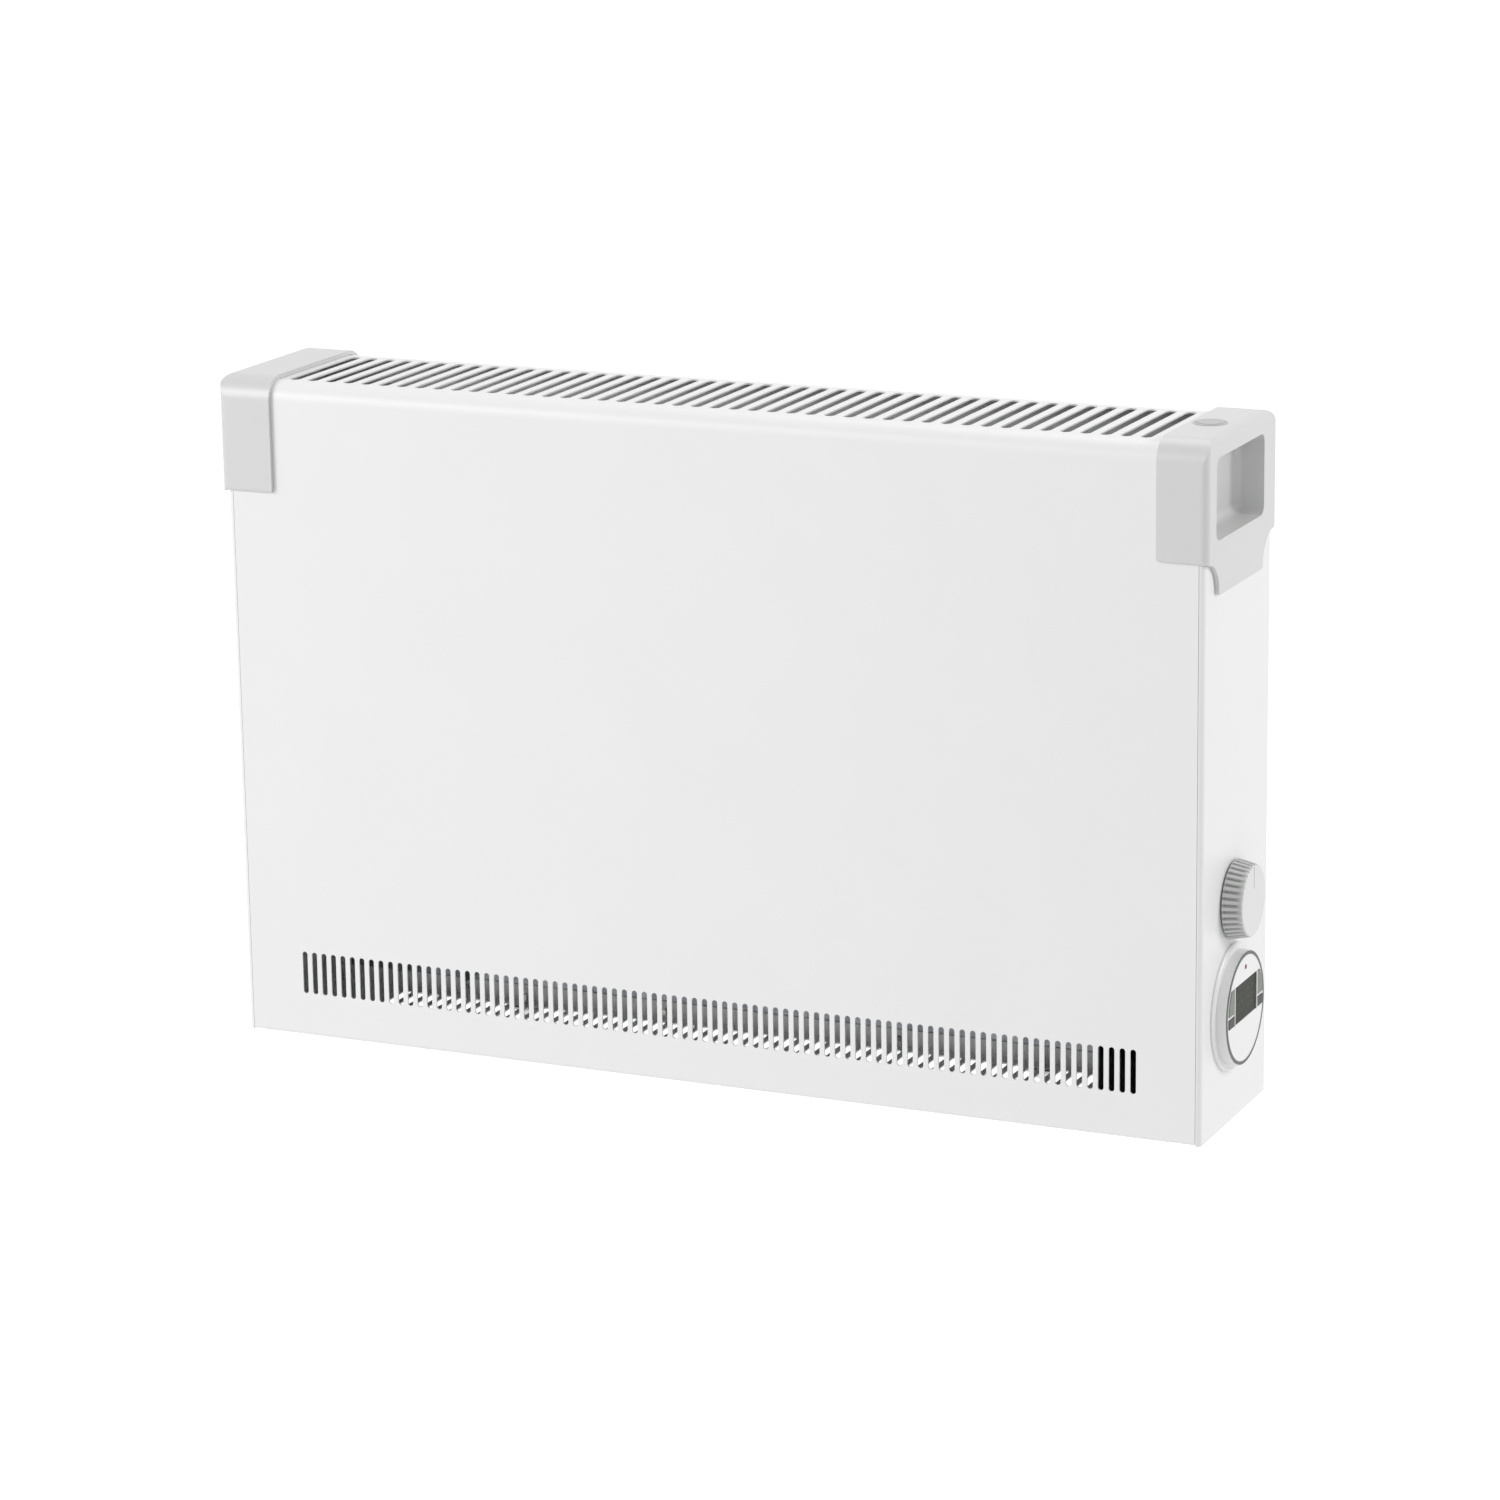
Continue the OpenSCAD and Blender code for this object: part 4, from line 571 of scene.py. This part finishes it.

# %% [markdown]
# ## The grey ring round the timer's face
# A grey ring fills the gap between the timer's face and its drum; it is painted shade, standing for the shade
# in that gap. A torus would lie in the gap without closing it. So a section, with a root that fills the gap
# and a lip on both edges, is spun round the timer's axis. It is given in millimetres, outwards from the
# face's edge and upwards from the face's top.

# %% Spin the ring of painted shade
face_low, face_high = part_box("timer_face")
timer_middle = (face_low + face_high) / 2
FACE_R = (face_high.y - face_low.y) / 2
SPIN_STEPS = 96
ROOT_AND_LIP = ((0.05, -3.0), (1.3, -3.0), (1.3, -0.35), (1.8, -0.35), (1.9, 0.0), (1.6, 0.15), (0.0, 0.15),
                (-0.3, 0.05), (0.05, 0.0))
gap_shade_ring = bmesh.new()
section = [gap_shade_ring.verts.new((face_high.x + up * MM, timer_middle.y, timer_middle.z + FACE_R + out * MM))
           for out, up in ROOT_AND_LIP]
outline = [gap_shade_ring.edges.new(pair) for pair in zip(section, section[1:] + section[:1])]
bmesh.ops.spin(gap_shade_ring, geom=section + outline, cent=timer_middle, axis=(1, 0, 0), angle=2 * math.pi,
               steps=SPIN_STEPS, use_merge=True)
bmesh.ops.remove_doubles(gap_shade_ring, verts=gap_shade_ring.verts, dist=WELD)
bmesh.ops.recalc_face_normals(gap_shade_ring, faces=gap_shade_ring.faces)
# The ring is painted shade: a grey filling the gap where shade falls.
new_piece("timer_gap_shade", gap_shade_ring, gap_shade_grey, "heater")
print("the seal surrounds a face", round(2 * FACE_R / MM, 1), "mm across")

# %% [markdown]
# ## The bars beside the display
# Two white bars stand between the display and the keys, as high as the keys, and keep a finger off the
# window. Each is a bar with round ends laid along the window's side.

# %% Set the bars
window_low, window_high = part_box("lcd_window")
window_middle = (window_low + window_high) / 2
key_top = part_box("front_upper_key")[1].x
GUARD_W = 1.05 * MM
GUARD_T = 0.6 * MM
GUARD_ASIDE = 0.6 * MM
OVER_KEYS = 0.02 * MM
TURNED_OUT = Matrix.Rotation(QUARTER_TURN, 4, "Y")
UPRIGHT = UPENDED @ TURNED_OUT
guards = bmesh.new()
for across in (window_low.y - GUARD_ASIDE, window_high.y + GUARD_ASIDE):
    place = Matrix.Translation((key_top - GUARD_T / 2 + OVER_KEYS, across, window_middle.z))
    bar(guards, place @ UPRIGHT, GUARD_W, window_high.z - window_low.z + 2 * GUARD_ASIDE, GUARD_T, ROUND_END)
new_piece("display_guards", guards, white_timer_abs, "heater")
print("the bars stand", round((key_top + OVER_KEYS - face_high.x) / MM, 2), "mm above the face")

# %% [markdown]
# ## The display's figures
# A liquid crystal that is off still shows its electrodes faintly. Four figures of seven strokes each and the
# colon between them stand a little paler on the olive. A picture could be laid on, but strokes with a shape
# stay sharp close up. Each stroke is a pointed bar, thin as a film.

# %% Lay the figures
FIGURE_H = 11.0 * MM
FIGURE_W = 6.0 * MM
FIGURES_ASIDE = [shift * MM for shift in (-14.5, -6.0, 6.0, 14.5)]
STROKE = 0.9 * MM
STROKE_GAP = 0.3 * MM
DOT_RISE = 2.4 * MM
DOT_L = 1.02 * STROKE
FILM = 0.06 * MM
figures = bmesh.new()


def stroke(across, up, turn, length, sides=POINTED_END):
    """Lays one stroke on the window, so far along Y and Z from the window's middle."""
    place = Matrix.Translation((window_high.x, window_middle.y + across, window_middle.z + up))
    bar(figures, place @ turn, STROKE, length, FILM, sides)


for across in FIGURES_ASIDE:
    for up in (-1, 0, 1):
        stroke(across, up * FIGURE_H / 2, TURNED_OUT, FIGURE_W - 2 * STROKE_GAP)
    for side in (-1, 1):
        for up in (-1, 1):
            stroke(across + side * FIGURE_W / 2, up * FIGURE_H / 4, UPRIGHT, FIGURE_H / 2 - STROKE_GAP)
for up in (-1, 1):
    stroke(0, up * DOT_RISE, TURNED_OUT, DOT_L, ROUND_END)
display_figures = new_piece("display_figures", figures, olive_segments, "heater")
print("the figures have", len(display_figures.data.polygons), "faces")

# %% [markdown]
# ## What the camera sees, apart from what lights the heater
# The floor and the world look white to the camera, and in gloss and glass, yet light the heater less.
# The Light Path node tells the kinds of ray apart, and one function joins the three that should see white.


# %% Tell the rays apart
def looked_at(tree):
    """Gives 1 for a camera, glossy or transmission ray and 0 for every other ray."""
    path = add(tree, "ShaderNodeLightPath").outputs
    seen = add(tree, "ShaderNodeMath", {"operation": "MAXIMUM"},
               {0: path["Is Camera Ray"], 1: path["Is Glossy Ray"]})
    seen = add(tree, "ShaderNodeMath", {"operation": "MAXIMUM"},
               {0: seen.outputs["Value"], 1: path["Is Transmission Ray"]})
    return seen.outputs["Value"]


WHITE = linear("FFFFFF")
print("white in linear light:", WHITE)

# %% [markdown]
# ## Floor and background
# The picture stands on plain white. A large pale floor below the heater carries its soft shadow.
# What the camera sees of the floor is lifted to white, and the lamps stay as they are.

# %% Lay the floor
FLOOR_HALF = 30.0
FLOOR_DROP = 0.45
FLOOR_LIFT = 0.56
shape = bmesh.new()
bmesh.ops.create_grid(shape, x_segments=2, y_segments=2, size=FLOOR_HALF)
floor = to_object("floor", shape)
floor.location = (0, 0, cad_low.z - FLOOR_DROP)

floor_paint = bpy.data.materials.new("floor_paint")
floor_paint.use_nodes = True
tree = floor_paint.node_tree
tree.nodes.clear()
paint = add(tree, "ShaderNodeBsdfDiffuse", {"Color": linear("F2F2F2")})
lift_strength = add(tree, "ShaderNodeMath", {"operation": "MULTIPLY", 1: FLOOR_LIFT}, {0: looked_at(tree)})
lift = add(tree, "ShaderNodeEmission", {"Color": WHITE}, {"Strength": lift_strength.outputs["Value"]})
both = add(tree, "ShaderNodeAddShader", {}, {0: paint.outputs[0], 1: lift.outputs[0]})
add(tree, "ShaderNodeOutputMaterial", {}, {"Surface": both.outputs[0]})
floor.data.materials.append(floor_paint)
print("floor at", round(floor.location.z, 3))

# %% [markdown]
# ## Light
# The photographer used large soft sources: one far to the left of the camera, one behind the right-hand end
# and one above. The rounded edges between front and end face neither, so they show as soft grey lines,
# which is what makes the white box readable. The world fills the rest evenly.

# %% Set the world and the lamps
WORLD_LIGHT = 0.55
world = bpy.data.worlds.new("studio")
bpy.context.scene.world = world
world.use_nodes = True
tree = world.node_tree
tree.nodes.clear()
strength = add(tree, "ShaderNodeMapRange", {"To Min": WORLD_LIGHT, "To Max": 1.0},
               {"Value": looked_at(tree)})
sky = add(tree, "ShaderNodeBackground", {"Color": WHITE}, {"Strength": strength.outputs["Result"]})
add(tree, "ShaderNodeOutputWorld", {}, {"Surface": sky.outputs[0]})
middle = (cad_low + cad_high) / 2


def soft_box(name, place, size, watts):
    """Sets up a square lamp that faces the middle of the heater."""
    data = bpy.data.lights.new(name, "AREA")
    data.shape = "SQUARE"
    data.size = size
    data.energy = watts
    lamp = bpy.data.objects.new(name, data)
    lamp.location = place
    lamp.rotation_mode = "QUATERNION"
    lamp.rotation_quaternion = (Vector(place) - middle).to_track_quat("Z", "Y")
    bpy.context.scene.collection.objects.link(lamp)


soft_box("left_soft_box", (-2.6, -3.2, 1.5), 2.2, 79)
soft_box("right_soft_box", (2.1, 0.55, 0.95), 0.8, 17.8)
soft_box("top_soft_box", (0.0, 0.35, 1.7), 1.2, 6.6)
print("three soft boxes round", tuple(round(c, 3) for c in middle))

# %% [markdown]
# ## Finish
# The view transform is Standard, so a colour comes out as it was written.

# %% Set the view transform
bpy.context.scene.view_settings.view_transform = "Standard"
